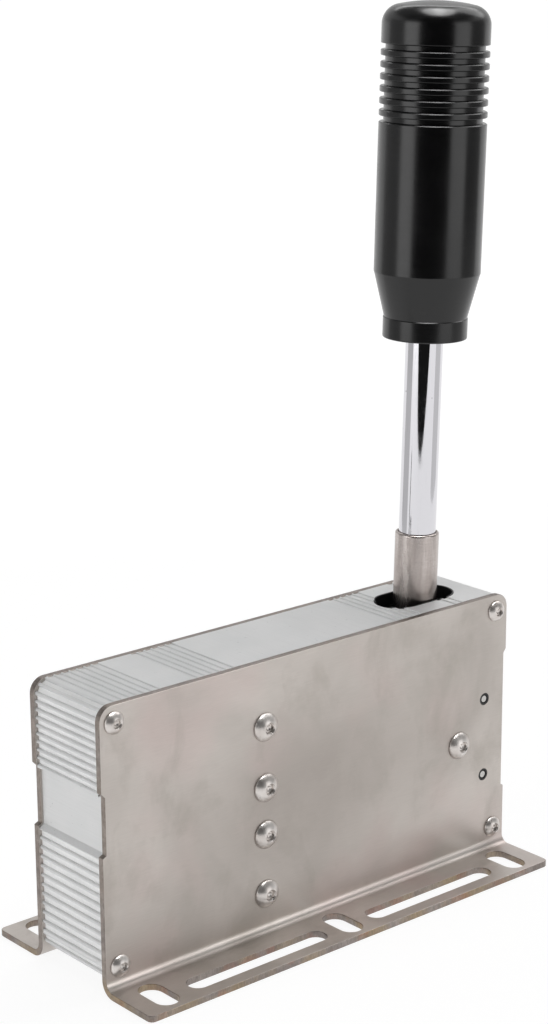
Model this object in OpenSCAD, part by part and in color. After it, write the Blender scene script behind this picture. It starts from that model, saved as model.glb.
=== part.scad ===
// Sequential gear shifter: a ribbed aluminium ring between two bent steel side plates,
// with a hinged lever that two springs bring back to the middle.
// X runs along the long side, Y across the thickness, Z up. Origin: floor, centre.

/* [Side plates] */
// How far a side plate runs past each end of the ring
plate_overhang = 0.5; // [0:0.1:2]
// Thickness of the steel sheet
sheet_t = 2.2; // [1.5:0.1:3]
// Radius of the plate's top corners
plate_corner_r = 5; // [2:0.5:10]
// Inside radius of the bend to the foot
bend_r = 3; // [1:0.5:6]
// Reach of the foot from the plate's outer face
foot_reach = 22.5; // [20:0.5:40]
// Radius of the foot's free corners
foot_corner_r = 2; // [0.5:0.5:6]
// Depth of the notch in the front end edge
front_notch_depth = 1.4; // [0.5:0.1:3]
// Height of the front notch's lower shoulder
front_notch_low = 46.4; // [40:0.2:54]
// Height of the front notch's upper shoulder
front_notch_high = 67.4; // [60:0.2:76]
// Depth of the notch in the rear end edge
rear_notch_depth = 1.1; // [0.5:0.1:3]
// Height of the rear notch's lower shoulder
rear_notch_low = 23.4; // [18:0.2:30]
// Height of the rear notch's upper shoulder
rear_notch_high = 74.5; // [68:0.2:80]

/* [Foot slots] */
// Width of the short slots
short_slot_w = 8.2; // [4:0.1:10]
// Length of the short slots
short_slot_l = 15.8; // [10:0.2:17]
// Distance from the plate's end to the outer short slots' middle
short_slot_in = 11; // [8:0.5:15]
// Distance from the foot's edge to the short slots' middle
short_slot_inset = 10.3; // [9:0.1:11]
// Width of the long slots
long_slot_w = 7.4; // [4:0.1:10]
// Land between the middle short slot and a long slot
inner_land = 5.6; // [4:0.1:12]
// Land between a long slot and the outer short slot
outer_land = 6.3; // [4:0.1:12]
// Distance from the foot's edge to the long slots' middle
long_slot_inset = 8.5; // [7:0.1:11]

/* [Housing] */
// Length of the aluminium ring
housing_l = 174; // [150:1:220]
// Height of the aluminium ring
housing_h = 91.5; // [84:0.5:110]
// Width of the ring, which sets the plates apart
housing_w = 31.9; // [30:0.1:50]
// Gap from the floor to the ring
housing_lift = 3.5; // [3:0.5:10]
// Wall of the ring, ribs included
housing_wall = 3.5; // [2.6:0.1:5]
// Outer corner radius of the ring
housing_r = 5.5; // [4:0.5:8]
// Depth of the gaps between ribs
rib_depth = 1.2; // [0.8:0.1:1.6]
// Radius of the rounded rib crests
crest_r = 0.7; // [0.3:0.05:0.9]
// Rib pitch above the front recess
rib_pitch_upper = 2.65; // [2.4:0.01:2.9]
// Rib pitch below the front recess
rib_pitch_lower = 3.19; // [2.6:0.01:3.3]
// Rib pitch on the top and bottom faces
rib_pitch_top = 2.85; // [2.4:0.01:3.1]
// Depth of the smooth recess in each end
recess_depth = 1.6; // [0.8:0.1:2]
// Length of the lever slot in the top
lever_slot_l = 31.5; // [29:0.5:36]
// Width of the lever slot in the top
lever_slot_w = 17; // [16.8:0.1:22]
// Distance from the lever's foot back to the slot's middle
lever_slot_back = 1.4; // [0.6:0.1:2.4]
// Distance from the ring's end to a corner screw
corner_screw_in = 5; // [4.5:0.1:6]
// Distance from the ring's top or bottom to a corner screw
corner_screw_drop = 5.75; // [5:0.05:7]
// Radius of the solid bosses round the corner screws
corner_boss_r = 4.7; // [3.5:0.1:6]

/* [Lever] */
// Distance from the ring's rear end to the pivot
pivot_in = 22; // [21:0.5:27]
// Height of the pivot
pivot_z = 44.1; // [42:0.1:47]
// Distance of the lever's foot in front of the pivot
lever_offset = 6.2; // [4:0.1:8]
// Lean of the lever at rest, in degrees
lever_lean = 2.1; // [0:0.1:4]
// Diameter of the lever's steel sleeve
sleeve_d = 15; // [14:0.1:15.6]
// Bore of the steel sleeve
sleeve_bore = 13.2; // [12.9:0.1:13.6]
// Top of the sleeve above the pivot, along the lever
sleeve_top = 74; // [64:0.5:90]
// Diameter of the polished rod
rod_d = 12.7; // [10:0.1:12.8]
// Foot of the knob above the pivot, along the lever
knob_foot = 141; // [110:1:180]
// Travel of the lever to each side, in degrees
lever_travel = 7; // [4:0.5:7]

/* [Knob] */
// Diameter of the grip
knob_d = 35.6; // [30:0.2:45]
// Diameter of the neck below the taper
knob_neck_d = 28.4; // [24:0.2:30]
// Height of the neck
knob_neck_h = 7; // [4:0.5:12]
// Height of the taper from the neck to the grip
knob_taper_h = 15; // [8:0.5:25]
// Height of the whole knob
knob_h = 110.2; // [90:0.2:130]
// Radius of the rounded shoulder round the knob's top
knob_top_r = 6.6; // [4:0.2:10]
// Radius of the low crown across the knob's top
knob_crown_r = 60; // [40:1:120]
// Number of grip grooves
groove_count = 7; // [3:1:9]
// Width of a groove
groove_w = 1.9; // [1:0.1:2.6]
// Pitch of the grooves
groove_pitch = 3.87; // [3:0.01:4.2]
// Depth of a groove
groove_depth = 1.5; // [0.8:0.1:2.2]
// Distance from the knob's top to the first groove
groove_drop = 13.9; // [10:0.1:18]

/* [Mechanism] */
// Diameter of the pivot shaft
shaft_d = 10; // [8:0.5:11]
// Width of the lever hub
hub_w = 24; // [22:0.5:26]
// Width of the arm
arm_w = 10; // [8:0.5:12]
// Height of the arm
arm_h = 10; // [7:0.5:12]
// Distance from the pivot to the springs along X
arm_reach = 87.4; // [84:0.2:91]
// Distance between the two middle block screws
block_inner = 16.2; // [15:0.1:18]
// Distance between the two outer block screws
block_outer = 57.6; // [54:0.1:60]
// Wire of the return springs
spring_wire = 1.2; // [0.8:0.1:1.4]
// Outer diameter of the return springs
spring_od = 10.8; // [10:0.1:11.4]
// Turns of a return spring
spring_turns = 7; // [5:1:9]
// Distance from the pivot to the stop pins along X
stop_dx = 12.3; // [12:0.1:13]
// Height of the stop pins above and below the pivot
stop_dz = 14; // [13.8:0.1:16]

/* [Fasteners] */
// Nominal diameter of the corner screws
corner_screw_d = 4; // [3:0.5:5]
// Nominal diameter of the block and pivot screws
main_screw_d = 5; // [4:0.5:6]
// Clearance of a hole over its screw
hole_clear = 0.5; // [0.2:0.1:0.8]

/* [Hidden] */
$fn = 48;
eps = 0.01;

half_w = housing_w / 2;
face_y = half_w + sheet_t;
foot_y = face_y + foot_reach;
housing_zc = housing_lift + housing_h / 2;
housing_top = housing_lift + housing_h;
plate_l = housing_l + 2 * plate_overhang;
plate_h = housing_top;
short_slot_x = plate_l / 2 - short_slot_in;
long_slot_l = short_slot_x - short_slot_w - inner_land - outer_land;
long_slot_x = short_slot_w / 2 + inner_land + long_slot_l / 2;
inner_l = housing_l - 2 * housing_wall;
inner_h = housing_h - 2 * housing_wall;
corner_x = housing_l / 2 - corner_screw_in;
corner_dz = housing_h / 2 - corner_screw_drop;
play = 0.1;

pivot_x = housing_l / 2 - pivot_in;
lever_foot_x = pivot_x - lever_offset;
lever_slot_x = lever_foot_x + lever_slot_back;
block_x = pivot_x - arm_reach;

// First gap of each band of ribs, from the ring's front end and from the lever slot
band_in_1 = 6.1;
band_in_2 = 38.5;
band_ahead = 23.9;
band_behind = 3.8;

bush_wall = 1.46;
bush_clear = 0.04;
bush_od = shaft_d + 2 * (bush_clear + bush_wall);
bush_l = 10;
flange_t = 2;
flange_od = bush_od + 5;
hub_r = bush_od / 2 + 5.5;

pin_d = 3;
pin_bush_d = 4.2;
stop_sleeve_d = 8;
stop_clear = 0.4;
tail_x = 15;
tail_h = 2 * (stop_dz * cos(lever_travel) - stop_dx * sin(lever_travel)
    - stop_sleeve_d / 2 - stop_clear);
fork_w = 20;
fork_h = 15;
fork_back = 13;
fork_front = 29;
arm_end = 15;
arm_bolt_x = [-24.5, -18.5];
arm_over = 5.5;
arm_tip = block_x - arm_over;
arm_screw_d = 3;
arm_head_d = 5.5;
arm_head_h = 3;
arm_key = 2.5;
arm_nut_w = 5.5;
arm_nut_h = 2.4;
upright = 22;
socket_foot = 9.5;

shield_l = lever_slot_l + 0.5;
shield_w = housing_w - 4.9;
shield_t = 1.2;
shield_r = 4;
shield_wall = 2;
shield_boss_h = 5;
shield_drop = 6.4;
shield_z = housing_top - housing_wall - pivot_z - shield_drop;
hub_top = shield_z - shield_boss_h;
grub_d = 5;
grub_key = 2.5;
grub_z = hub_top - 8;
cross_pin_d = 4;
cross_pin_z = hub_top - 14;

rod_seat = 58;
insert_d = 20;
insert_l = rod_seat + 2;
knob_grub_d = 4;

block_l = 20;
block_wall = 3.5;
block_h = 71;
block_slot_w = 13;
block_slot_h = 62;
cup_t = 1.5;
cup_spigot = 3;
cup_d = spring_od - 0.2;
spigot_d = spring_od - 2 * spring_wire - 0.9;
cup_shank_d = 5;
spring_low = arm_h / 2 + cup_t;
spring_high = block_slot_h / 2 - cup_t;

board_gap_front = 4.4;
board_gap_back = 2;
board_l = arm_reach - fork_front - block_l / 2 - board_gap_front - board_gap_back;
board_h = 54;
board_t = 1.6;
board_x = pivot_x - fork_front - board_gap_back - board_l / 2;
board_y = 9.4;
board_back = board_y + board_t;
board_inset = 3.5;
sensor_dz = 6.5;
sensor_x = board_x + 1;
magnet_d = 6;
magnet_h = 3;
usb_dz = 16;
usb_z = pivot_z + usb_dz;
usb_l = 8.9;
usb_h = 3.3;
usb_rim = 0.6;
chip_l = 7;
chip_t = 1.2;
chip_dx = 3.5;
chip_dz = 20.5;
plug_l = 5;
plug_t = 2;
plug_h = 11;
plug_dx = 9;
plug_dz = 21;
regulator_l = 6.5;
regulator_t = 1.8;
regulator_h = 3.6;
regulator_d = 15;
small_screw_d = 3;
small_hole_d = small_screw_d + 0.2;
small_head_d = 5.6;
small_head_h = 1.6;
small_key = 2;

module stadium(l, w) {
    square([l - w, w], center = true);
    for (s = [-1, 1]) translate([s * (l - w) / 2, 0]) circle(d = w);
}

module rounded_rect(l, h, r) {
    square([l, h - 2 * r], center = true);
    square([l - 2 * r, h], center = true);
    for (sx = [-1, 1], sz = [-1, 1])
        translate([sx * (l / 2 - r), sz * (h / 2 - r)]) circle(r);
}

// A flat outline in X and Z, given thickness from y0 to y1
module slab(y0, y1) {
    translate([0, y1, 0]) rotate([90, 0, 0]) linear_extrude(y1 - y0) children();
}

module rod_y(d, y0, y1) {
    translate([0, y1, 0]) rotate([90, 0, 0]) cylinder(d = d, h = y1 - y0);
}

module at_pivot() {
    translate([pivot_x, 0, pivot_z]) children();
}

// The lever's own frame: its foot level with the pivot, +Z along the rod
module on_lever() {
    translate([lever_foot_x, 0, pivot_z]) rotate([0, lever_lean, 0]) children();
}

module both_sides() {
    children();
    mirror([0, 1, 0]) children();
}

module at_corners() {
    for (sx = [-1, 1], sz = [-1, 1])
        translate([sx * corner_x, 0, housing_zc + sz * corner_dz]) children();
}

module at_block_screws() {
    for (s = [-1, 1], d = [block_inner, block_outer])
        translate([block_x, 0, pivot_z + s * d / 2]) children();
}

module at_stops() {
    for (s = [-1, 1]) translate([pivot_x + stop_dx, 0, pivot_z + s * stop_dz]) children();
}

module at_standoffs() {
    for (sx = [-1, 1], sz = [-1, 1])
        translate([board_x + sx * (board_l / 2 - board_inset), 0,
            pivot_z + sz * (board_h / 2 - board_inset)]) children();
}

// Button head screw on the -Y side: the head's seat is at the outer face
module button_screw(d, head_d, head_h, key, l, seat_y) {
    rim = head_h * 0.16;
    crown = head_h * 1.06 - rim;
    ball = (crown * crown + head_d * head_d / 4) / (2 * crown);
    translate([0, -seat_y, 0]) rotate([90, 0, 0]) difference() {
        union() {
            cylinder(d = head_d, h = rim);
            rotate_extrude() intersection() {
                translate([0, rim]) square([head_d / 2, head_h - rim]);
                translate([0, rim + crown - ball]) circle(ball, $fn = 96);
            }
            translate([0, 0, -l]) cylinder(d = d, h = l + eps);
        }
        translate([0, 0, head_h * 0.35])
            cylinder(d = key / cos(30), h = head_h, $fn = 6);
    }
}

// One gap between two rounded crests, cut down from y = 0
module rib_gap(pitch) {
    difference() {
        translate([-pitch / 2, -rib_depth]) square([pitch, rib_depth + 1]);
        for (s = [-1, 1]) translate([s * pitch / 2, 0]) {
            translate([0, -crest_r]) circle(crest_r, $fn = 20);
            translate([-crest_r, -rib_depth - 1])
                square([2 * crest_r, rib_depth + 1 - crest_r]);
        }
    }
}

module rib_row(count, pitch) {
    for (i = [0:count - 1]) translate([i * pitch, 0]) rib_gap(pitch);
}

// Ribs from a first gap up to where the corner starts to round
module ribs_to_corner(first, pitch) {
    room = housing_h / 2 - housing_r - first;
    translate([first, 0]) rib_row(floor(room / pitch) + 1, pitch);
}

// Smooth recess from a slanted lower side to a steep upper side
module recess(low, high) {
    polygon([[low, 0], [low, 1], [high, 1], [high, 0], [high - 0.3, -recess_depth],
        [low + recess_depth, -recess_depth]]);
}

// Three bands of ribs and a pair by the slot, as on the top
module long_face_cuts() {
    half = housing_l / 2;
    translate([band_in_1 - half, 0]) rib_row(7, rib_pitch_top);
    translate([band_in_2 - half, 0]) rib_row(6, rib_pitch_top);
    translate([lever_slot_x - band_ahead, 0]) rib_row(5, rib_pitch_top);
    translate([lever_slot_x + band_behind, 0]) rib_row(2, rib_pitch_top);
}

module front_end_cuts() {
    low = front_notch_low - 1 - housing_zc;
    high = front_notch_high - 1.4 - housing_zc;
    recess(low, high);
    ribs_to_corner(high + 1.9, rib_pitch_upper);
    mirror([1, 0]) ribs_to_corner(1.6 - low, rib_pitch_lower);
}

module rear_end_cuts() {
    low = rear_notch_low - 0.4 - housing_zc;
    high = rear_notch_high + 0.4 - housing_zc;
    recess(low, high);
    ribs_to_corner(high + 2.2, rib_pitch_upper);
    mirror([1, 0]) ribs_to_corner(2.2 - low, rib_pitch_lower);
}

// Wider gaps round the front corners, at angles up from the end face
module corner_cuts() {
    for (s = [[1, 28], [1, 62], [-1, 10], [-1, 45]])
        translate([housing_r - housing_l / 2, s[0] * (housing_h / 2 - housing_r)])
            rotate(s[0] > 0 ? 90 - s[1] : 90 + s[1])
                translate([0, housing_r]) rib_gap(rib_pitch_top + 0.2);
}

// Outer profile of the ring, in X and Z, centred on the ring
module housing_outline() {
    difference() {
        rounded_rect(housing_l, housing_h, housing_r);
        translate([0, housing_h / 2]) long_face_cuts();
        translate([0, -housing_h / 2]) mirror([0, 1]) long_face_cuts();
        translate([-housing_l / 2, 0]) rotate(90) front_end_cuts();
        translate([housing_l / 2, 0]) rotate(90) mirror([0, 1]) rear_end_cuts();
        corner_cuts();
    }
}

module housing_section() {
    difference() {
        housing_outline();
        difference() {
            rounded_rect(inner_l, inner_h, 2);
            for (sx = [-1, 1], sz = [-1, 1])
                translate([sx * corner_x, sz * corner_dz]) circle(corner_boss_r);
        }
        for (sx = [-1, 1], sz = [-1, 1])
            translate([sx * corner_x, sz * corner_dz]) circle(d = corner_screw_d);
    }
}

module housing() {
    color("#c9cacb") difference() {
        translate([0, 0, housing_zc]) slab(-half_w, half_w) housing_section();
        translate([lever_slot_x, 0, housing_top - housing_wall - 1])
            linear_extrude(housing_wall + 2) stadium(lever_slot_l, lever_slot_w);
    }
}

module slot_liner() {
    liner_wall = 0.5;
    lip = 1.5;
    color("#141414") intersection() {
        translate([lever_slot_x, 0, housing_top - housing_wall]) difference() {
            union() {
                translate([0, 0, -1]) linear_extrude(1)
                    stadium(lever_slot_l + 2 * lip, lever_slot_w + 2 * lip);
                translate([0, 0, -1]) linear_extrude(housing_wall + 1)
                    stadium(lever_slot_l, lever_slot_w);
            }
            translate([0, 0, -2]) linear_extrude(housing_wall + 3)
                stadium(lever_slot_l - 2 * liner_wall, lever_slot_w - 2 * liner_wall);
        }
        translate([0, 0, housing_zc]) slab(-half_w, half_w) housing_outline();
    }
}

// Upright, bend and foot of a side plate, as seen along X
module plate_section() {
    upright_y = -face_y;
    translate([upright_y, sheet_t + bend_r - eps])
        square([sheet_t, plate_h - sheet_t - bend_r + eps]);
    translate([-foot_y, 0]) square([foot_reach - bend_r + eps, sheet_t]);
    translate([upright_y - bend_r, sheet_t + bend_r]) intersection() {
        difference() {
            circle(bend_r + sheet_t);
            circle(bend_r);
        }
        translate([0, -bend_r - sheet_t]) square(bend_r + sheet_t);
    }
}

module notch_cut(side, low, high, depth) {
    polygon([[side * (plate_l / 2 + 1), low - 0.5], [side * plate_l / 2, low],
        [side * (plate_l / 2 - depth), low + 0.6],
        [side * (plate_l / 2 - depth), high - 1.5],
        [side * plate_l / 2, high], [side * (plate_l / 2 + 1), high + 1]]);
}

module corner_cut(r) {
    difference() {
        square(r + 1);
        circle(r);
    }
}

module foot_slots() {
    for (x = [-short_slot_x, 0, short_slot_x])
        translate([x, short_slot_inset - foot_y]) rotate(90)
            stadium(short_slot_l, short_slot_w);
    for (x = [-long_slot_x, long_slot_x])
        translate([x, long_slot_inset - foot_y]) stadium(long_slot_l, long_slot_w);
}

module plate_blank() {
    difference() {
        translate([-plate_l / 2, 0, 0]) rotate([90, 0, 90]) linear_extrude(plate_l)
            plate_section();
        slab(-foot_y, 0) {
            notch_cut(-1, front_notch_low, front_notch_high, front_notch_depth);
            notch_cut(1, rear_notch_low, rear_notch_high, rear_notch_depth);
            for (s = [-1, 1]) translate([s * (plate_l / 2 - plate_corner_r),
                plate_h - plate_corner_r]) mirror([s < 0 ? 1 : 0, 0])
                corner_cut(plate_corner_r);
        }
        translate([0, 0, -1]) linear_extrude(sheet_t + 2) {
            foot_slots();
            for (s = [-1, 1]) translate([s * (plate_l / 2 - foot_corner_r),
                foot_corner_r - foot_y]) mirror([s < 0 ? 1 : 0, 0]) mirror([0, 1])
                corner_cut(foot_corner_r);
        }
        at_corners() rod_y(corner_screw_d + hole_clear, -foot_y, 0);
        at_block_screws() rod_y(main_screw_d + hole_clear, -foot_y, 0);
        at_pivot() rod_y(main_screw_d + hole_clear, -foot_y, 0);
        at_stops() rod_y(pin_bush_d, -foot_y, 0);
    }
}

module front_side_plate() {
    color("#b3aca8") plate_blank();
}

module rear_side_plate() {
    color("#b3aca8") difference() {
        mirror([0, 1, 0]) plate_blank();
        at_standoffs() rod_y(small_hole_d, 0, foot_y);
        translate([board_x, 0, usb_z]) slab(0, foot_y)
            stadium(usb_l + usb_rim, usb_h + usb_rim);
    }
}

module corner_screws() {
    color("#d8d5d2") both_sides() at_corners()
        button_screw(corner_screw_d, 1.82 * corner_screw_d, 0.55 * corner_screw_d,
            0.625 * corner_screw_d, 10, face_y);
}

module main_screw(l) {
    button_screw(main_screw_d, 1.9 * main_screw_d, 0.55 * main_screw_d,
        0.6 * main_screw_d, l, face_y);
}

module block_screws() {
    color("#d8d5d2") both_sides() at_block_screws() main_screw(sheet_t + 8.6);
}

module pivot_screws() {
    color("#d8d5d2") both_sides() at_pivot() main_screw(sheet_t + 8.6);
}

module pivot_shaft() {
    color("#a8a9ab") at_pivot() difference() {
        rod_y(shaft_d, -half_w, half_w);
        both_sides() rod_y(main_screw_d, -half_w - 1, -half_w + 9);
    }
}

module thrust_washers() {
    inner = hub_w / 2 + flange_t + play;
    color("#d9c9a0") both_sides() at_pivot() difference() {
        rod_y(flange_od, -half_w, -inner);
        rod_y(shaft_d + 0.3, -half_w - 1, -inner + 1);
    }
}

module pivot_bushes() {
    color("#b5894a") both_sides() at_pivot() difference() {
        union() {
            rod_y(bush_od, -hub_w / 2 - eps, -hub_w / 2 + bush_l);
            rod_y(flange_od, -hub_w / 2 - flange_t, -hub_w / 2);
        }
        rod_y(shaft_d + 2 * bush_clear, -half_w, 0);
    }
}

module lever_hub() {
    color("#8f9194") difference() {
        union() {
            at_pivot() {
                slab(-hub_w / 2, hub_w / 2) {
                    circle(hub_r);
                    translate([0, -tail_h / 2]) square([tail_x, tail_h]);
                    translate([-fork_back, -hub_r]) square([fork_back, 2 * hub_r]);
                }
                slab(-fork_w / 2, fork_w / 2)
                    translate([-fork_front, -fork_h / 2]) square([fork_front, fork_h]);
            }
            on_lever() translate([-upright / 2, -fork_w / 2, 0])
                cube([upright, fork_w, hub_top]);
        }
        at_pivot() {
            rod_y(bush_od, -hub_w, hub_w);
            translate([-fork_front - 1, -arm_w / 2, -hub_r])
                cube([fork_front + 1 - arm_end, arm_w, 2 * hub_r]);
            for (x = arm_bolt_x) translate([x, 0, 0]) rod_y(arm_screw_d, -hub_w, hub_w);
        }
        on_lever() {
            translate([0, 0, socket_foot]) cylinder(d = sleeve_d, h = hub_top);
            for (s = [-1, 1]) translate([0, 0, grub_z]) rotate([0, s * 90, 0])
                cylinder(d = grub_d, h = upright);
        }
    }
}

module lever_arm() {
    color("#9a9c9f") difference() {
        slab(-arm_w / 2, arm_w / 2) {
            translate([arm_tip, pivot_z - arm_h / 2])
                square([pivot_x - arm_end - arm_tip, arm_h]);
        }
        for (x = arm_bolt_x) at_pivot() translate([x, 0, 0])
            rod_y(arm_screw_d, -arm_w, arm_w);
        translate([block_x, 0, pivot_z - arm_h]) cylinder(d = cup_shank_d, h = 2 * arm_h);
        translate([sensor_x, 0, pivot_z])
            rod_y(magnet_d, arm_w / 2 - magnet_h + 0.5, arm_w);
    }
}

module arm_screws() {
    color("#3a3b3d") for (x = arm_bolt_x) at_pivot() translate([x, 0, 0]) difference() {
        union() {
            rod_y(arm_screw_d, -fork_w / 2 - eps, fork_w / 2 + arm_head_h);
            rod_y(arm_head_d, -fork_w / 2 - arm_head_h, -fork_w / 2);
        }
        translate([0, (arm_head_h - fork_w) / 2 - arm_head_h, 0]) rotate([90, 0, 0])
            cylinder(d = arm_key / cos(30), h = arm_head_h, $fn = 6);
    }
}

module arm_nuts() {
    color("#c9ccd0") for (x = arm_bolt_x) at_pivot() translate([x, 0, 0]) difference() {
        translate([0, fork_w / 2 + arm_nut_h, 0]) rotate([90, 30, 0])
            cylinder(d = arm_nut_w / cos(30), h = arm_nut_h, $fn = 6);
        rod_y(arm_screw_d, fork_w / 2 - 1, fork_w / 2 + arm_nut_h + 1);
    }
}

module arm_magnet() {
    color("#d4d6d9") translate([sensor_x, 0, pivot_z])
        rod_y(magnet_d, arm_w / 2 - magnet_h + 0.5, arm_w / 2 + 0.5);
}

// A flanged cup with its flange at z = 0, its spigot up and its shank down
module spring_cup(shank) {
    cylinder(d = cup_d, h = cup_t);
    cylinder(d = spigot_d, h = cup_t + cup_spigot);
    translate([0, 0, -shank]) cylinder(d = cup_shank_d, h = shank + eps);
}

module arm_spring_cups() {
    color("#2a2b2d") translate([block_x, 0, pivot_z]) {
        translate([0, 0, arm_h / 2]) spring_cup(arm_h / 2 - 0.2);
        mirror([0, 0, 1]) translate([0, 0, arm_h / 2]) spring_cup(arm_h / 2 - 0.2);
    }
}

module spring_block() {
    color("#a3a5a8") difference() {
        translate([block_x - block_l / 2, -half_w, pivot_z - block_h / 2])
            cube([block_l, housing_w, block_h]);
        translate([block_x - block_l / 2 + block_wall, -block_slot_w / 2,
            pivot_z - block_slot_h / 2]) cube([block_l, block_slot_w, block_slot_h]);
        both_sides() at_block_screws() rod_y(main_screw_d, -half_w - 1, -half_w + 9);
        translate([block_x, 0, 0]) cylinder(d = cup_shank_d, h = 2 * pivot_z);
    }
}

module block_spring_seats() {
    color("#2a2b2d") for (s = [0, 1]) translate([block_x, 0, pivot_z])
        mirror([0, 0, s]) translate([0, 0, block_slot_h / 2]) mirror([0, 0, 1])
            spring_cup((block_h - block_slot_h) / 2);
}

// Points of a coil: rings of six points along the wire
coil_r = (spring_od - spring_wire) / 2;
coil_steps = 8;
coil_rings = spring_turns * coil_steps;
coil_h = spring_high - spring_low - spring_wire;
function coil_point(i) = [coil_r * cos(360 * i / coil_steps),
    coil_r * sin(360 * i / coil_steps), spring_wire / 2 + coil_h * i / coil_rings];
function ring_point(i, j) = let (a = 360 * i / coil_steps, b = 60 * j, p = coil_point(i),
    w = spring_wire / 2) [p[0] + w * cos(b) * cos(a), p[1] + w * cos(b) * sin(a),
    p[2] + w * sin(b)];
coil_points = [for (i = [0:coil_rings], j = [0:5]) ring_point(i, j)];
coil_faces = concat(
    [for (i = [0:coil_rings - 1], j = [0:5], k = [0, 1])
        let (a = 6 * i + j, b = 6 * i + (j + 1) % 6) k == 0 ? [a, a + 6, b + 6] : [a, b + 6, b]],
    [for (j = [1:4]) [0, j, j + 1]],
    [for (j = [1:4]) [6 * coil_rings, 6 * coil_rings + j + 1, 6 * coil_rings + j]]);
coil_gap = min([for (i = [0:coil_rings - coil_steps])
    norm(coil_point(i + coil_steps) - coil_point(i))]) - spring_wire;
echo(least_gap_between_spring_turns = coil_gap);

module return_spring() {
    color("#b9bcc0") translate([0, 0, spring_low])
        polyhedron(points = coil_points, faces = coil_faces);
}

module upper_spring() {
    translate([block_x, 0, pivot_z]) return_spring();
}

module lower_spring() {
    translate([block_x, 0, pivot_z]) rotate([180, 0, 0]) return_spring();
}

module stop_pins() {
    color("#d0cfce") at_stops() rod_y(pin_d, -face_y + 0.3, face_y - 0.3);
}

module stop_pin_bushes() {
    color("#111111") both_sides() at_stops() difference() {
        rod_y(pin_bush_d, -face_y + 0.1, -half_w);
        rod_y(pin_d, -face_y, 0);
    }
}

module stop_sleeves() {
    color("#1c1c1e") at_stops() difference() {
        rod_y(stop_sleeve_d, -hub_w / 2, hub_w / 2);
        rod_y(pin_d, -hub_w, hub_w);
    }
}

module lever_sleeve() {
    color("#a79f9b") on_lever() difference() {
        rotate_extrude() difference() {
            translate([0, socket_foot]) square([sleeve_d / 2, sleeve_top - socket_foot]);
            translate([sleeve_d / 2, sleeve_top]) rotate(45)
                square(0.7 * sqrt(2), center = true);
        }
        translate([0, 0, socket_foot + 3]) cylinder(d = sleeve_bore, h = sleeve_top);
        translate([0, 0, cross_pin_z]) rod_y(cross_pin_d, -sleeve_d, sleeve_d);
    }
}

module lever_rod() {
    color("#e2e2e5") on_lever() difference() {
        translate([0, 0, socket_foot + 3]) cylinder(d = rod_d,
            h = knob_foot + rod_seat - socket_foot - 3);
        translate([0, 0, cross_pin_z]) rod_y(cross_pin_d, -sleeve_d, sleeve_d);
    }
}

module cross_pin() {
    color("#8b8d90") on_lever() translate([0, 0, cross_pin_z])
        rod_y(cross_pin_d, -sleeve_d / 2 + 0.2, sleeve_d / 2 - 0.2);
}

module sleeve_grub_screws() {
    color("#3a3b3d") on_lever() for (s = [-1, 1]) translate([0, 0, grub_z])
        rotate([0, s * 90, 0]) difference() {
            translate([0, 0, sleeve_d / 2]) cylinder(d = grub_d, h = (upright - sleeve_d) / 2);
            translate([0, 0, upright / 2 - 2])
                cylinder(d = grub_key / cos(30), h = 3, $fn = 6);
        }
}

module dust_shield() {
    color("#131313") on_lever() difference() {
        union() {
            translate([0, 0, shield_z]) linear_extrude(shield_t)
                rounded_rect(shield_l, shield_w, shield_r);
            translate([0, 0, hub_top])
                cylinder(d = sleeve_d + 2 * shield_wall, h = shield_boss_h + eps);
        }
        cylinder(d = sleeve_d, h = sleeve_top);
    }
}

module knob_profile() {
    r = knob_d / 2;
    neck = knob_neck_d / 2;
    grip = knob_neck_h + knob_taper_h;
    w = groove_w / 2;
    // The shoulder's arc meets the crown's without a corner
    arc_x = r - knob_top_r;
    arc_z = knob_h - knob_crown_r + sqrt(pow(knob_crown_r - knob_top_r, 2) - arc_x * arc_x);
    crown_w = arc_x * knob_crown_r / (knob_crown_r - knob_top_r);
    difference() {
        union() {
            square([neck, knob_neck_h]);
            polygon([[0, knob_neck_h - eps], [neck - 0.3, knob_neck_h - eps], [r, grip],
                [0, grip]]);
            translate([0, grip - eps]) square([r, arc_z - grip + eps]);
            intersection() {
                translate([0, knob_h - knob_crown_r]) circle(knob_crown_r, $fn = 240);
                translate([0, grip]) square([crown_w, knob_h - grip]);
            }
            intersection() {
                translate([arc_x, arc_z]) circle(knob_top_r);
                square([r, knob_h]);
            }
        }
        translate([neck, 0]) rotate(45) square(0.5 * sqrt(2), center = true);
        for (i = [0:groove_count - 1])
            translate([r, knob_h - groove_drop - groove_w / 2 - i * groove_pitch])
                polygon([[-groove_depth, -w], [-groove_depth, w], [-0.4, w], [1, w + 1.4],
                    [1, -w - 1.4], [-0.4, -w]]);
    }
}
module knob() {
    color("#1b1b1d") on_lever() translate([0, 0, knob_foot]) difference() {
        rotate_extrude($fn = 72) knob_profile();
        translate([0, 0, -1]) cylinder(d = insert_d, h = insert_l + 1);
        translate([0, 0, knob_neck_h / 2]) rotate([-90, 0, 0])
            cylinder(d = knob_grub_d, h = knob_neck_d);
    }
}

module knob_insert() {
    color("#c2a25a") on_lever() translate([0, 0, knob_foot]) difference() {
        translate([0, 0, 0.4]) cylinder(d = insert_d, h = insert_l - 0.4);
        cylinder(d = rod_d, h = rod_seat);
        translate([0, 0, knob_neck_h / 2]) rotate([-90, 0, 0])
            cylinder(d = knob_grub_d, h = knob_neck_d);
    }
}

module knob_grub_screw() {
    color("#2c2d2f") on_lever() translate([0, 0, knob_foot + knob_neck_h / 2])
        rotate([-90, 0, 0]) difference() {
            translate([0, 0, rod_d / 2])
                cylinder(d = knob_grub_d, h = knob_neck_d / 2 - rod_d / 2 - 0.6);
            translate([0, 0, knob_neck_d / 2 - 2.6])
                cylinder(d = small_key / cos(30), h = 3, $fn = 6);
        }
}

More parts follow.
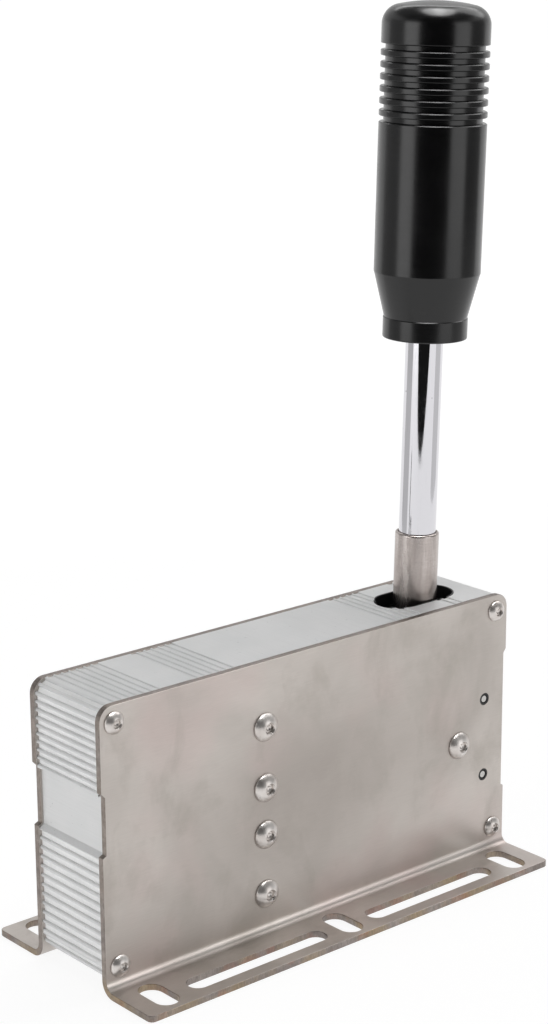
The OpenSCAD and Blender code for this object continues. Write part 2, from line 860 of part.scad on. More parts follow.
module on_board() {
    translate([board_x, 0, pivot_z]) children();
}

module control_board() {
    color("#1f5a3a") difference() {
        on_board() slab(board_y, board_back) rounded_rect(board_l, board_h, 1.5);
        at_standoffs() rod_y(small_hole_d, 0, foot_y);
    }
}

module microcontroller() {
    color("#202124") on_board() translate([-chip_dx, board_y - chip_t, -chip_dz])
        cube([chip_l, chip_t, chip_l]);
}

module hall_sensors() {
    color("#26272a") for (s = [-1, 1]) translate([sensor_x - 2,
        board_y - 1.6, pivot_z + s * sensor_dz - 1.5]) cube([4, 1.6, 3]);
}

module board_parts() {
    color("#b8a888") on_board() {
        translate([plug_dx, board_y - plug_t, -plug_dz]) cube([plug_l, plug_t, plug_h]);
        translate([-regulator_d, board_y - regulator_t, -regulator_d])
            cube([regulator_l, regulator_t, regulator_h]);
        for (i = [0:3]) translate([-14 + 4.5 * i, board_y - 0.8, 13]) cube([1.2, 0.8, 2]);
        for (i = [0:2]) translate([-14, board_y - 0.8, 1 - 4 * i]) cube([2, 0.8, 1.2]);
    }
}

module usb_shell() {
    tip = face_y - 0.3;
    color("#c4c6ca") translate([board_x, 0, usb_z]) difference() {
        slab(board_back, tip) stadium(usb_l, usb_h);
        slab(board_back + 1, tip + 1) stadium(usb_l - usb_rim, usb_h - usb_rim);
    }
}

module usb_tongue() {
    color("#191a1c") translate([board_x, 0, usb_z])
        slab(board_back + 1, face_y - 1) square([6.6, 0.7], center = true);
}

module board_standoffs() {
    color("#c9a852") at_standoffs() difference() {
        translate([0, half_w, 0]) rotate([90, 0, 0])
            cylinder(d = 5 / cos(30), h = half_w - board_back, $fn = 6);
        rod_y(small_screw_d, 0, foot_y);
    }
}

module board_screws() {
    color("#c9ccd0") at_standoffs()
        button_screw(small_screw_d, small_head_d, small_head_h, small_key, board_t + 2.2,
            -board_y);
}

module standoff_screws() {
    color("#c9ccd0") mirror([0, 1, 0]) at_standoffs()
        button_screw(small_screw_d, small_head_d, small_head_h, small_key, sheet_t + 2.4,
            face_y);
}

front_side_plate();
rear_side_plate();
housing();
slot_liner();
corner_screws();
block_screws();
pivot_screws();
pivot_shaft();
thrust_washers();
pivot_bushes();
lever_hub();
lever_arm();
arm_screws();
arm_nuts();
arm_magnet();
arm_spring_cups();
spring_block();
block_spring_seats();
upper_spring();
lower_spring();
stop_pins();
stop_pin_bushes();
stop_sleeves();
lever_sleeve();
lever_rod();
cross_pin();
sleeve_grub_screws();
dust_shield();
knob();
knob_insert();
knob_grub_screw();
control_board();
microcontroller();
hall_sensors();
board_parts();
usb_shell();
usb_tongue();
board_standoffs();
board_screws();
standoff_screws();
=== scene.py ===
import math

import bmesh
import bpy
from mathutils import Matrix, Vector
from mathutils.geometry import tessellate_polygon


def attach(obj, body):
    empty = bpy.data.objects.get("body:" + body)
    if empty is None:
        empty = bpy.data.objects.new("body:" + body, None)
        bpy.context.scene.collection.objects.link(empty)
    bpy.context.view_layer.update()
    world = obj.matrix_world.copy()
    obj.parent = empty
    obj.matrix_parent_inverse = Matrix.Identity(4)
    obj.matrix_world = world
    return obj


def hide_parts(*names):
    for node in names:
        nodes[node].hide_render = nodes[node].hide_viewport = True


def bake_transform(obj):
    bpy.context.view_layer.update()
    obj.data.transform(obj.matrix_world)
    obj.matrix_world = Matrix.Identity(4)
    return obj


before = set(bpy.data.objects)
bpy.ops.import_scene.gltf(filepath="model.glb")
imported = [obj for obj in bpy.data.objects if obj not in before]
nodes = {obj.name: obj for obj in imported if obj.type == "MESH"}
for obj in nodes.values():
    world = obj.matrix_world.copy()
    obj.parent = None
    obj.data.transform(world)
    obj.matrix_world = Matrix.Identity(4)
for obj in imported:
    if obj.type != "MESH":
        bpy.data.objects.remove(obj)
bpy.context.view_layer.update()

mm = 0.001
pivotZ = 44.1
pins = {"x": 77.3, "spread": 14}
print("frame loaded,", len(nodes), "nodes")


# camera

cameraSet = {"place": (-470.0, -547.7, 336.6), "yaw": 40.469, "pitch": 15.528, "roll": -0.352,
             "lens": 81.526, "sensor": 36, "clip": (0.05, 50)}


def shifted(x, y, z):
    return Matrix.Translation((x * mm, y * mm, z * mm))


def turnedBy(degrees, axis):
    return Matrix.Rotation(math.radians(degrees), 4, axis)


def placed(name, data):
    thing = bpy.data.objects.new(name, data)
    bpy.context.scene.collection.objects.link(thing)
    return thing


def makeCamera(c):
    yaw, pitch, roll = (math.radians(c[k]) for k in ("yaw", "pitch", "roll"))
    right = Vector((math.cos(yaw), -math.sin(yaw), 0))
    level = Vector((math.sin(yaw), math.cos(yaw), 0))
    forward = level * math.cos(pitch) - Vector((0, 0, math.sin(pitch)))
    up = right.cross(forward)
    x = math.cos(roll) * right + math.sin(roll) * up
    y = math.cos(roll) * up - math.sin(roll) * right
    turn = Matrix((x, y, -forward)).transposed().to_4x4()
    data = bpy.data.cameras.new("shifterCamera")
    data.lens, data.sensor_width = c["lens"], c["sensor"]
    data.clip_start, data.clip_end = c["clip"]
    camera = placed("shifterCamera", data)
    camera.matrix_world = shifted(*c["place"]) @ turn
    bpy.context.scene.camera = camera
    return forward, right


viewLine, viewRight = makeCamera(cameraSet)
bpy.context.scene.view_settings.view_transform = "Standard"


# small helpers for node trees

def linear(code):
    # written colours are sRGB, sockets take linear
    values = [int(code[i:i + 2], 16) / 255 for i in (1, 3, 5)]
    return tuple(v / 12.92 if v <= 0.04045 else ((v + 0.055) / 1.055) ** 2.4
                 for v in values) + (1.0,)


def feed(tree, socket, value):
    # links sockets, one or a list of them, and writes plain values
    for one in value if isinstance(value, list) else [value]:
        if isinstance(one, bpy.types.NodeSocket):
            tree.links.new(one, socket)
        elif one is not None:
            socket.default_value = one


def addNode(tree, kind, inputs=None, family="Shader", **settings):
    node = tree.nodes.new(family + "Node" + kind)
    for name, value in settings.items():
        setattr(node, name, value)
    for key, value in (inputs or {}).items():
        feed(tree, node.inputs[key], value)
    return node.outputs


def geoNode(tree, kind, inputs=None, **settings):
    return addNode(tree, kind, inputs, "Geometry", **settings)


def noise(tree, where, scale, detail, roughness, distortion=0.0, stretch=None):
    if stretch:
        where = addNode(tree, "Mapping", {"Vector": where, "Scale": stretch})[0]
    return addNode(tree, "TexNoise", {
        "Vector": where, "Scale": scale, "Detail": detail, "Roughness": roughness,
        "Distortion": distortion})[0]


def remap(tree, value, low, high, toLow, toHigh):
    return addNode(tree, "MapRange", {
        "Value": value, "From Min": low, "From Max": high, "To Min": toLow,
        "To Max": toHigh})[0]


def objectPlace(tree):
    return addNode(tree, "TexCoord")["Object"]


def coordinate(tree, vector, letter):
    return addNode(tree, "SeparateXYZ", {0: vector})[letter]


def vectorLength(tree, vector):
    return addNode(tree, "VectorMath", {0: vector}, operation="LENGTH")["Value"]


def math2(tree, operation, a, b=None):
    return addNode(tree, "Math", {0: a, 1: b}, operation=operation)[0]


def mixColour(tree, factor, a, b):
    return addNode(tree, "Mix", {0: factor, 6: a, 7: b}, data_type="RGBA")[2]


# finishes

def makeFinish(name, metallic, noises, base, tints, rough, bumps, masks=None):
    # noises are scale, detail, roughness, distortion and stretch, and masks are functions
    # that stand beside them. A tint over the base colour is a noise, its range, share and
    # colour, and the mask within which it holds. Rough parts are a noise, its range and
    # roughness, and add up. Bumps are a noise, strength and distance.
    material = bpy.data.materials.new(name)
    material.use_nodes = True
    tree = material.node_tree
    where = objectPlace(tree)
    values = {key: noise(tree, where, *settings) for key, settings in noises.items()}
    values.update({key: mask(tree, where) for key, mask in (masks or {}).items()})
    colour, roughness, normal = linear(base), None, None
    for key, low, high, share, code, *within in tints:
        share = remap(tree, values[key], low, high, 0, share)
        for mask in within:
            share = math2(tree, "MULTIPLY", values[mask], share)
        colour = mixColour(tree, share, colour, linear(code))
    for key, *limits in rough:
        part = remap(tree, values[key], *limits)
        roughness = math2(tree, "ADD", roughness, part) if roughness else part
    for key, strength, distance in bumps:
        normal = addNode(tree, "Bump", {
            "Height": values[key], "Strength": strength, "Distance": distance,
            "Normal": normal})[0]
    shader = tree.nodes["Principled BSDF"].inputs
    for label, value in (
            ("Metallic", metallic), ("Base Color", colour), ("Roughness", roughness),
            ("Normal", normal)):
        feed(tree, shader[label], value)
    return material


def fromMiddle(tree, where):
    # way from the middle of the plates' darker patch, longer along X than along Z
    return vectorLength(tree, addNode(tree, "Mapping", {
        "Vector": where, "Scale": (0.6, 0.0, 1.4), "Location": (-0.004, 0.0, -0.067)})[0])


def heightOf(tree, where):
    return coordinate(tree, where, "Z")


def nearFloor(tree, where):
    # the lowest millimetres of the feet took the most heat
    return remap(tree, heightOf(tree, where), 0.0025, 0.007, 1, 0.15)


def inPits(tree, where):
    cells = addNode(tree, "TexVoronoi", {"Vector": where, "Scale": 420})
    return remap(tree, cells["Distance"], 0.05, 0.12, 1, 0)


def fromPin(tree, where):
    # way from the axis of the nearer stop pin, one above the pivot's height and one below
    dx = math2(tree, "SUBTRACT", coordinate(tree, where, "X"), pins["x"] * mm)
    rise = math2(tree, "SUBTRACT", heightOf(tree, where), pivotZ * mm)
    dz = math2(tree, "SUBTRACT", math2(tree, "ABSOLUTE", rise), pins["spread"] * mm)
    return vectorLength(tree, addNode(tree, "CombineXYZ", {"X": dx, "Z": dz})[0])


def makePlainMetal(name, dark, pale, rough, scale, stretch=None):
    # even metal with a light haze and a fine grain
    return makeFinish(
        name, 1.0, {"grain": (scale, 3, 0.6, 0, stretch), "haze": (80, 3, 0.5)}, dark,
        [("haze", 0.35, 0.65, 1, pale)],
        [("haze", 0.3, 0.7, rough - 0.04, rough + 0.04), ("grain", 0.3, 0.7, -0.02, 0.03)],
        [("grain", 0.1, 0.00005)])


def makePlainSoft(name, dark, pale, rough, scale, depth=0.15):
    # moulded or lacquered: a soft sheen over a fine grain
    return makeFinish(
        name, 0.0, {"grain": (scale, 3, 0.6), "haze": (90, 3, 0.5)}, dark,
        [("haze", 0.35, 0.65, 1, pale)], [("grain", 0.3, 0.7, rough - 0.05, rough + 0.05)],
        [("grain", depth, 0.00005)])


# bare rolled stainless: warm grey with cloudy stains, fine rolling grain and faint rubs
sheetSteel = makeFinish(
    "stainedSheetSteel", 0.76,
    {"cloud": (22, 4, 0.5, 0.6), "patch": (47, 5, 0.6, 0.4, (1, 1, 0.7)),
     "grain": (3200, 2, 0.6, 0, (0.05, 1, 1)), "blush": (31, 2, 0.5),
     "rubs": (420, 3, 0.6, 0, (0.25, 1, 1))}, "#b8b1ab",
    [("cloud", 0.36, 0.66, 1, "#ccc5bf"), ("blush", 0.5, 0.72, 0.5, "#cbb9b5"),
     ("patch", 0.48, 0.32, 0.5, "#a59e96"), ("grain", 0.3, 0.7, 0.1, "#9a938e"),
     ("middle", 0.045, 0.012, 0.55, "#a39b95")],
    [("cloud", 0.3, 0.7, 0.43, 0.35), ("grain", 0.3, 0.7, -0.03, 0.04)],
    [("grain", 0.09, 0.00004), ("rubs", 0.05, 0.0003)], {"middle": fromMiddle})

# laser-cut edge: brown heat tint with fine striations across the sheet
cutEdge = makeFinish(
    "laserCutEdge", 1.0,
    {"stripes": (2600, 2, 0.6, 0, (1, 0.25, 0.25)), "blotch": (130, 4, 0.6, 0.5),
     "straw": (52, 3, 0.5), "rust": (88, 3, 0.55, 0.4)}, "#857d79",
    [("blotch", 0.35, 0.65, 1, "#a29a95"), ("straw", 0.45, 0.6, 0.42, "#ab9058", "low"),
     ("rust", 0.54, 0.66, 0.32, "#a5694f", "low"), ("stripes", 0.35, 0.65, 0.4, "#5f564e")],
    [("blotch", 0.3, 0.7, 0.34, 0.5)], [("stripes", 0.35, 0.00006)], {"low": nearFloor})

# clear-anodised extrusion: pale, even, with fine die lines along the extrusion
satinAluminium = makeFinish(
    "satinAnodisedAluminium", 0.3,
    {"lines": (2400, 2, 0.55, 0, (1, 0.02, 1)), "haze": (60, 3, 0.5),
     "specks": (900, 2, 0.5)}, "#d9dada",
    [("haze", 0.35, 0.65, 1, "#dfdfdf"), ("lines", 0.4, 0.75, 0.25, "#cdcdcd"),
     ("specks", 0.72, 0.78, 0.5, "#8c8d8e")],
    [("haze", 0.3, 0.7, 0.38, 0.44)], [("lines", 0.12, 0.00003)])

# floors between the ribs: matt, and painted paler than the faces as a painted lift against the
# shade in the grooves
paintedLiftGroove = makeFinish(
    "paintedLiftGrooveAluminium", 0.0, {"haze": (60, 3, 0.5), "specks": (1300, 2, 0.5)}, "#efefef",
    [("haze", 0.35, 0.65, 1, "#f7f7f7"), ("specks", 0.62, 0.75, 0.25, "#c4c4c4")],
    [("haze", 0.3, 0.7, 0.45, 0.55)], [("specks", 0.08, 0.00004)])

# turned and handled steel tube: grain runs round it, stains and wear run along it, and painted
# shade darkens it low down where it goes into the slot
brushedSleeve = makeFinish(
    "brushedTubeSteel", 1.0,
    {"rings": (3000, 2, 0.6, 0, (0.12, 0.12, 1)),
     "runs": (260, 4, 0.6, 0.3, (1, 1, 0.16))}, "#a89e99",
    [("runs", 0.36, 0.64, 1, "#c8c0bc"), ("rings", 0.4, 0.7, 0.22, "#8e8681"),
     # painted shade: darker from 108 mm down to the ring's top at 95 mm
     ("height", 0.108, 0.094, 0.45, "#6a625d")],
    [("runs", 0.3, 0.7, 0.2, 0.3)], [("rings", 0.1, 0.00004)], {"height": heightOf})

# plated rod: mirror bright with a few pits and hairlines along it
chrome = makeFinish(
    "polishedChrome", 1.0,
    {"few": (260, 2, 0.5), "hair": (1500, 2, 0.6, 0, (1, 1, 0.02)),
     "wave": (90, 2, 0.5, 0, (1, 1, 0.2)), "grit": (2400, 2, 0.6)}, "#d9d8dc",
    [("hair", 0.64, 0.72, 0.35, "#a9a9ae"), ("few", 0.6, 0.64, 1, "#1c1c1e", "pits")],
    [("few", 0.3, 0.7, 0.03, 0.08)], [("wave", 0.04, 0.0004), ("grit", 0.05, 0.00003)],
    {"pits": inPits})

# turned aluminium, blasted fine and anodised black: soft sheen, tool rings just visible
blackAnodised = makeFinish(
    "blackAnodisedAluminium", 0.0,
    {"rings": (2600, 2, 0.6, 0, (0.05, 0.05, 1)), "grit": (2600, 2, 0.6),
     "haze": (70, 3, 0.5)}, "#070708", [("haze", 0.35, 0.65, 1, "#0b0b0c")],
    [("haze", 0.3, 0.7, 0.2, 0.25), ("rings", 0.3, 0.7, -0.02, 0.03)],
    [("rings", 0.05, 0.00003), ("grit", 0.04, 0.00002)])

# stainless button head: polished crown with faint handling marks
brightScrew = makeFinish(
    "polishedScrewSteel", 0.85, {"marks": (900, 3, 0.6), "soft": (240, 2, 0.5)}, "#d3ccc7",
    [("soft", 0.35, 0.65, 1, "#e4dfdb"), ("marks", 0.6, 0.75, 0.4, "#9c9692")],
    [("soft", 0.3, 0.7, 0.29, 0.35)], [("marks", 0.06, 0.00005)])

# hardened pin: bright ground middle on its end, darker and rougher round the rim
stopPinSteel = makeFinish(
    "groundStopPin", 1.0, {"grain": (2200, 3, 0.6)}, "#b4b1ae",
    [("grain", 0.3, 0.7, 1, "#cbc9c7"), ("out", 0.00105, 0.00125, 1, "#1b1918")],
    [("out", 0.00105, 0.00125, 0.26, 0.6)], [("grain", 0.1, 0.00005)], {"out": fromPin})

# spring wire: grey with a soft shine
springSteel = makePlainMetal("springWireSteel", "#a6a8ab", "#b8babd", 0.25, 2600)

# nodes that keep their shape: ground, machined, oxidised, cast and plated metals
plainMetals = [
    ("groundPinSteel", ("#b9b7b5", "#cbc9c7", 0.24, 2200, (1, 0.05, 1)),
     "pivot_shaft cross_pin"),
    ("machinedAluminium", ("#aeb0b2", "#bcbec0", 0.33, 1800, (0.04, 1, 1)),
     "lever_hub spring_block"),
    ("machinedBarSteel", ("#8f8f92", "#a0a0a2", 0.32, 1700, (0.04, 1, 1)), "lever_arm"),
    ("blackOxideSteel", ("#2b2c2e", "#37383a", 0.38, 1500),
     "arm_screws sleeve_grub_screws knob_grub_screw"),
    ("sinteredBronze", ("#a3763d", "#b98a4c", 0.38, 3000), "thrust_washers pivot_bushes"),
    ("turnedBrass", ("#b8954a", "#cbaa60", 0.28, 2200, (0.05, 0.05, 1)),
     "knob_insert board_standoffs"),
    ("nickelPlate", ("#c9cbce", "#d6d8db", 0.16, 1200), "arm_nuts arm_magnet usb_shell"),
    ("tinnedParts", ("#b3a98f", "#c5bda6", 0.34, 2500), "board_parts")]

# dull black plastic, matt rubber, glossy green lacquer and black chip cases
plainSofts = [
    ("mouldedBlackPlastic", ("#101011", "#191a1b", 0.45, 2200),
     "slot_liner arm_spring_cups block_spring_seats stop_pin_bushes dust_shield usb_tongue"),
    ("stopRubber", ("#171718", "#202021", 0.7, 1800, 0.25), "stop_sleeves"),
    ("boardLacquer", ("#123a26", "#1b4a31", 0.3, 700, 0.05), "control_board"),
    ("chipBlack", ("#1a1b1d", "#232426", 0.5, 2600), "microcontroller hall_sensors")]


def coat(names, material):
    for name in names.split():
        nodes[name].data.materials.clear()
        nodes[name].data.materials.append(material)


for name, look, coated in plainMetals:
    coat(coated, makePlainMetal(name, *look))
for name, look, coated in plainSofts:
    coat(coated, makePlainSoft(name, *look))
coat("stop_pins", stopPinSteel)
coat("board_screws", brightScrew)
print("finishes made:", len(bpy.data.materials))


# outlines and meshes

def roundedLoop(corners, stepAngle):
    # corners are (x, y, radius), in order round the outline
    points, count = [], len(corners)
    for i, (x, y, radius) in enumerate(corners):
        here = Vector((x, y))
        before = (Vector(corners[i - 1][:2]) - here).normalized()
        after = (Vector(corners[(i + 1) % count][:2]) - here).normalized()
        half = before.angle(after) / 2
        if radius <= 0 or half > math.pi / 2 - 1e-3:
            points.append(here)
            continue
        centre = here + (before + after).normalized() * radius / math.sin(half)
        reach = radius / math.tan(half)
        first, last = here + before * reach - centre, here + after * reach - centre
        start = math.degrees(math.atan2(first.y, first.x))
        turn = (math.degrees(math.atan2(last.y, last.x)) - start + 180) % 360 - 180
        steps = max(2, math.ceil(abs(turn) / stepAngle))
        arc = arcPoints(centre.x, centre.y, radius, start, start + turn, steps)
        points += [Vector(q) for q in arc]
    return points


def arcPoints(cx, cy, radius, start, end, steps):
    turns = [math.radians(start + (end - start) * k / steps) for k in range(steps + 1)]
    return [(cx + radius * math.cos(a), cy + radius * math.sin(a)) for a in turns]


def circleLoop(x, y, radius, steps=40):
    # clockwise, so that the sheet lies on the left of the line
    return [Vector(q) for q in arcPoints(x, y, radius, 0, -360, steps)[:-1]]


def slotLoop(x, y, length, width, along="x", steps=16):
    reach, r = (length - width) / 2, width / 2
    ends = arcPoints(reach, 0, r, 90, -90, steps) + arcPoints(-reach, 0, r, -90, -270, steps)
    return [Vector((x + dx, y + dy) if along == "x" else (x + dy, y - dx)) for dx, dy in ends]


def inwards(points):
    moves, count = [], len(points)
    for i, p in enumerate(points):
        a = (p - points[i - 1]).normalized()
        b = (points[(i + 1) % count] - p).normalized()
        na, nb = Vector((-a.y, a.x)), Vector((-b.y, b.x))
        moves.append((na + nb) / (1 + na.dot(nb)))
    return moves


def strip(a, b, n):
    # faces between two closed loops of n points that start at a and at b
    return [(a + i, a + (i + 1) % n, b + (i + 1) % n, b + i) for i in range(n)]


def smoothed(mesh, sharpAngle=None, merge=None):
    # faces turned outwards and shaded smooth, with edges beyond the angle left sharp
    shell = bmesh.new()
    shell.from_mesh(mesh)
    if merge:
        bmesh.ops.remove_doubles(shell, verts=shell.verts, dist=merge)
    bmesh.ops.recalc_face_normals(shell, faces=shell.faces)
    shell.to_mesh(mesh)
    shell.free()
    mesh.shade_smooth()
    if sharpAngle:
        mesh.set_sharp_from_angle(angle=math.radians(sharpAngle))


def meshObject(name, verts, faces, materials, faceMaterial=None, sharpAngle=None):
    mesh = bpy.data.meshes.new(name)
    mesh.from_pydata(verts, [], faces)
    for m in materials:
        mesh.materials.append(m)
    if faceMaterial:
        mesh.polygons.foreach_set("material_index", faceMaterial)
    smoothed(mesh, sharpAngle, 1e-7)
    return placed(name, mesh)


def evaluatedMesh(thing):
    bpy.context.view_layer.update()
    return bpy.data.meshes.new_from_object(
        thing.evaluated_get(bpy.context.evaluated_depsgraph_get()))


def weightNormals(piece):
    # large flats keep their direction and the small rounded edges take the turn
    m = piece.modifiers.new("flatNormals", "WEIGHTED_NORMAL")
    m.keep_sharp, m.weight = True, 100


def settle(piece, body, slotName, *replaced):
    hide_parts(*replaced)
    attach(piece, body)


# side plates

plate = {"length": 175, "height": 95, "sheet": 2.2, "bend": 3.0, "faceY": 18.15, "reach": 22.5,
         "bendLength": 5.0, "bendSteps": 12, "topCorner": 5, "footCorner": 2, "edge": 0.22,
         "notchCorner": 0.3, "notchFoot": 0.6, "notchHead": 1.5,
         "frontNotch": (46.4, 67.4, 1.4), "rearNotch": (23.4, 74.5, 1.1),
         "holes": {"corner": 4.5, "block": 5.5, "pivot": 5.5, "pin": 4.2},
         "standoffHole": 1.6, "socket": (13, 60.1, 9.5, 3.9),
         "shortSlot": (10.3, 15.8, 8.2), "shortSlotX": (-76.5, 0, 76.5),
         "longSlot": (8.5, 56.4, 7.4), "longSlotX": (-37.9, 37.9)}
screwPlaces = {"corner": [(x, 49.25 + z) for x in (-82, 82) for z in (-40, 40)],
               "block": [(-22.4, pivotZ + s * d / 2) for s in (-1, 1) for d in (16.2, 57.6)],
               "pivot": [(65, pivotZ)],
               "pin": [(pins["x"], pivotZ + s * pins["spread"]) for s in (-1, 1)],
               "standoff": [(13 + x, pivotZ + z) for x in (-17.5, 17.5)
                            for z in (-23.5, 23.5)]}


def makePlate(name, p, side, extraHoles):
    # a flat blank in x and v, where v runs up the foot, through the bend and up the plate
    half, flat, bendLength = p["length"] / 2, p["reach"] - p["bend"], p["bendLength"]
    top = flat + bendLength
    lift = top - p["sheet"] - p["bend"]
    bendLines = [flat + bendLength * k / p["bendSteps"] for k in range(p["bendSteps"] + 1)]

    def notch(low, high, depth):
        return [(0, low + lift), (depth, low + p["notchFoot"] + lift),
                (depth, high - p["notchHead"] + lift), (0, high + lift)]

    corners = [(-half, 0, p["footCorner"]), (half, 0, p["footCorner"])]
    corners += [(half, v, 0) for v in bendLines]
    corners += [(half - d, v, p["notchCorner"]) for d, v in notch(*p["rearNotch"])]
    corners += [(x, p["height"] + lift, p["topCorner"]) for x in (half, -half)]
    corners += [(d - half, v, p["notchCorner"]) for d, v in reversed(notch(*p["frontNotch"]))]
    corners += [(-half, v, 0) for v in reversed(bendLines)]
    outline = roundedLoop(corners, 9)
    footHoles = [slotLoop(x, *p["shortSlot"], "y") for x in p["shortSlotX"]]
    footHoles += [slotLoop(x, *p["longSlot"]) for x in p["longSlotX"]]
    plateHoles = [circleLoop(x, z + lift, size / 2)
                  for kind, size in p["holes"].items() for x, z in screwPlaces[kind]]
    plateHoles += [[Vector((q.x, q.y + lift)) for q in loop] for loop in extraHoles]

    footY = p["faceY"] + p["reach"]
    turnY, turnZ = -p["faceY"] - p["bend"], p["sheet"] + p["bend"]

    def place(x, v, w):
        if v <= flat:
            y, z = v - footY, p["sheet"] - w
        elif v < top:
            a = math.pi / 2 * (v - flat) / bendLength
            r = p["bend"] + w
            y, z = turnY + r * math.sin(a), turnZ - r * math.cos(a)
        else:
            y, z = w - p["faceY"], v - lift
        return (x * mm, -side * y * mm, z * mm)

    # each loop goes round eight times: one face's edge, its rounding, the cut, then back
    edge, t = p["edge"], p["sheet"]
    rings = [(edge * (1 - math.sin(a)), edge * (1 - math.cos(a)))
             for a in (0, math.pi / 6, math.pi / 3, math.pi / 2)]
    rings += [(inset, t - w) for inset, w in reversed(rings)]
    verts, faces, kinds = [], [], []
    flats = {0: [], len(rings) - 1: []}
    for loop in [outline] + footHoles + plateHoles:
        moves, starts, n = inwards(loop), [], len(loop)
        for k, (inset, w) in enumerate(rings):
            starts.append(len(verts))
            for q, m in zip(loop, moves):
                # the blank's own bend lines stay, so the bend keeps its shape
                moved = q + m * inset
                verts.append((moved.x, q.y if abs(m.y) < 1e-3 else moved.y, w))
            if k in flats:
                flats[k].append(list(range(starts[-1], starts[-1] + n)))
        for k in range(len(rings) - 1):
            faces += strip(starts[k], starts[k + 1], n)
            kinds += [int(1 <= k <= len(rings) - 3)] * n
    for k, loops in flats.items():
        outer, holes = loops[0], loops[1:]
        foot = [i for i in outer if verts[i][1] <= flat + 1e-6]
        wall = [i for i in outer if verts[i][1] >= top - 1e-6]
        count = len(footHoles)
        for groups in ([foot] + holes[:count], [wall] + holes[count:]):
            flatIndex = [i for g in groups for i in g]
            rims = [[Vector((*verts[i][:2], 0)) for i in g] for g in groups]
            faces += [tuple(flatIndex[i] for i in tri) for tri in tessellate_polygon(rims)]
        bendRows = {}
        for i in outer:
            x, v, _ = verts[i]
            if flat - 1e-6 <= v <= top + 1e-6:
                bendRows.setdefault(round(v, 6), {})[x > 0] = i
        ends = [bendRows[v] for v in sorted(bendRows)]
        faces += [(low[False], low[True], high[True], high[False])
                  for low, high in zip(ends, ends[1:])]
    kinds += [0] * (len(faces) - len(kinds))
    piece = meshObject(name, [place(*q) for q in verts], faces, [sheetSteel, cutEdge], kinds)
    weightNormals(piece)
    return piece


frontPlate = makePlate("frontSidePlate", plate, -1, [])
rearHoles = [circleLoop(x, z, plate["standoffHole"], 24) for x, z in screwPlaces["standoff"]]
rearHoles.append(slotLoop(*plate["socket"]))
rearPlate = makePlate("rearSidePlate", plate, 1, rearHoles)
settle(frontPlate, "base", "steel_sheet", "front_side_plate")
settle(rearPlate, "base", "steel_sheet", "rear_side_plate")
print("side plates:", *(len(piece.data.polygons) for piece in (frontPlate, rearPlate)))


# geometry node trees

def newTree(name, floats, ints=(), objects=()):
    tree = bpy.data.node_groups.new(name, "GeometryNodeTree")
    face = tree.interface
    for kind, labels in (
            ("Geometry", ["Geometry"]), ("Int", ints), ("Float", floats),
            ("Object", objects), ("Material", ["Material"])):
        for label in labels:
            face.new_socket(label, in_out="INPUT", socket_type="NodeSocket" + kind)
    face.new_socket("Geometry", in_out="OUTPUT", socket_type="NodeSocketGeometry")
    return tree, tree.nodes.new("NodeGroupInput").outputs


def closeTree(tree, geometry, material):
    # the copies made real, given their finish and handed out
    real = geoNode(tree, "RealizeInstances", {0: geometry})
    coated = geoNode(tree, "SetMaterial", {"Geometry": real[0], "Material": material})
    feed(tree, tree.nodes.new("NodeGroupOutput").inputs[0], coated[0])
    return tree


def makeRibTree():
    tree, g = newTree("ribBand", ["Pitch", "Crest Radius", "Height", "Length"], ["Count"])
    crest = g["Crest Radius"]
    section = geoNode(tree, "CurvePrimitiveQuadrilateral", {
        "Width": math2(tree, "MULTIPLY", crest, 2), "Height": g["Height"]})
    # just under the full radius, so that the two fillets never meet
    rounded = geoNode(tree, "FilletCurve", {
        "Curve": section[0], "Count": 6, "Radius": math2(tree, "MULTIPLY", crest, 0.995)},
        mode="POLY")
    ends = [addNode(tree, "CombineXYZ", {"Y": math2(tree, "MULTIPLY", g["Length"], share)})[0]
            for share in (-0.5, 0.5)]
    rail = geoNode(tree, "CurvePrimitiveLine", {"Start": ends[0], "End": ends[1]})
    bar = geoNode(tree, "CurveToMesh", {
        "Curve": rail[0], "Profile Curve": rounded[0], "Fill Caps": True})
    step = addNode(tree, "CombineXYZ", {"X": g["Pitch"]})
    row = geoNode(tree, "MeshLine", {"Count": g["Count"], "Offset": step[0]}, mode="OFFSET")
    copies = geoNode(tree, "InstanceOnPoints", {"Points": row[0], "Instance": bar[0]})
    return closeTree(tree, copies[0], g["Material"])


def makeLatheTree():
    # the profile comes in as edges in x (radius) and y (height) and is swept round Z
    tree, g = newTree("turnedPiece", ["Core Radius"], ["Segments"])
    profile = geoNode(tree, "MeshToCurve", {"Mesh": g["Geometry"]})
    core = geoNode(tree, "CurvePrimitiveCircle", {
        "Resolution": g["Segments"], "Radius": g["Core Radius"]})
    swept = geoNode(tree, "CurveToMesh", {"Curve": core[0], "Profile Curve": profile[0]})
    closed = geoNode(tree, "MergeByDistance", {"Geometry": swept[0], "Distance": 1e-6})
    return closeTree(tree, closed[0], g["Material"])


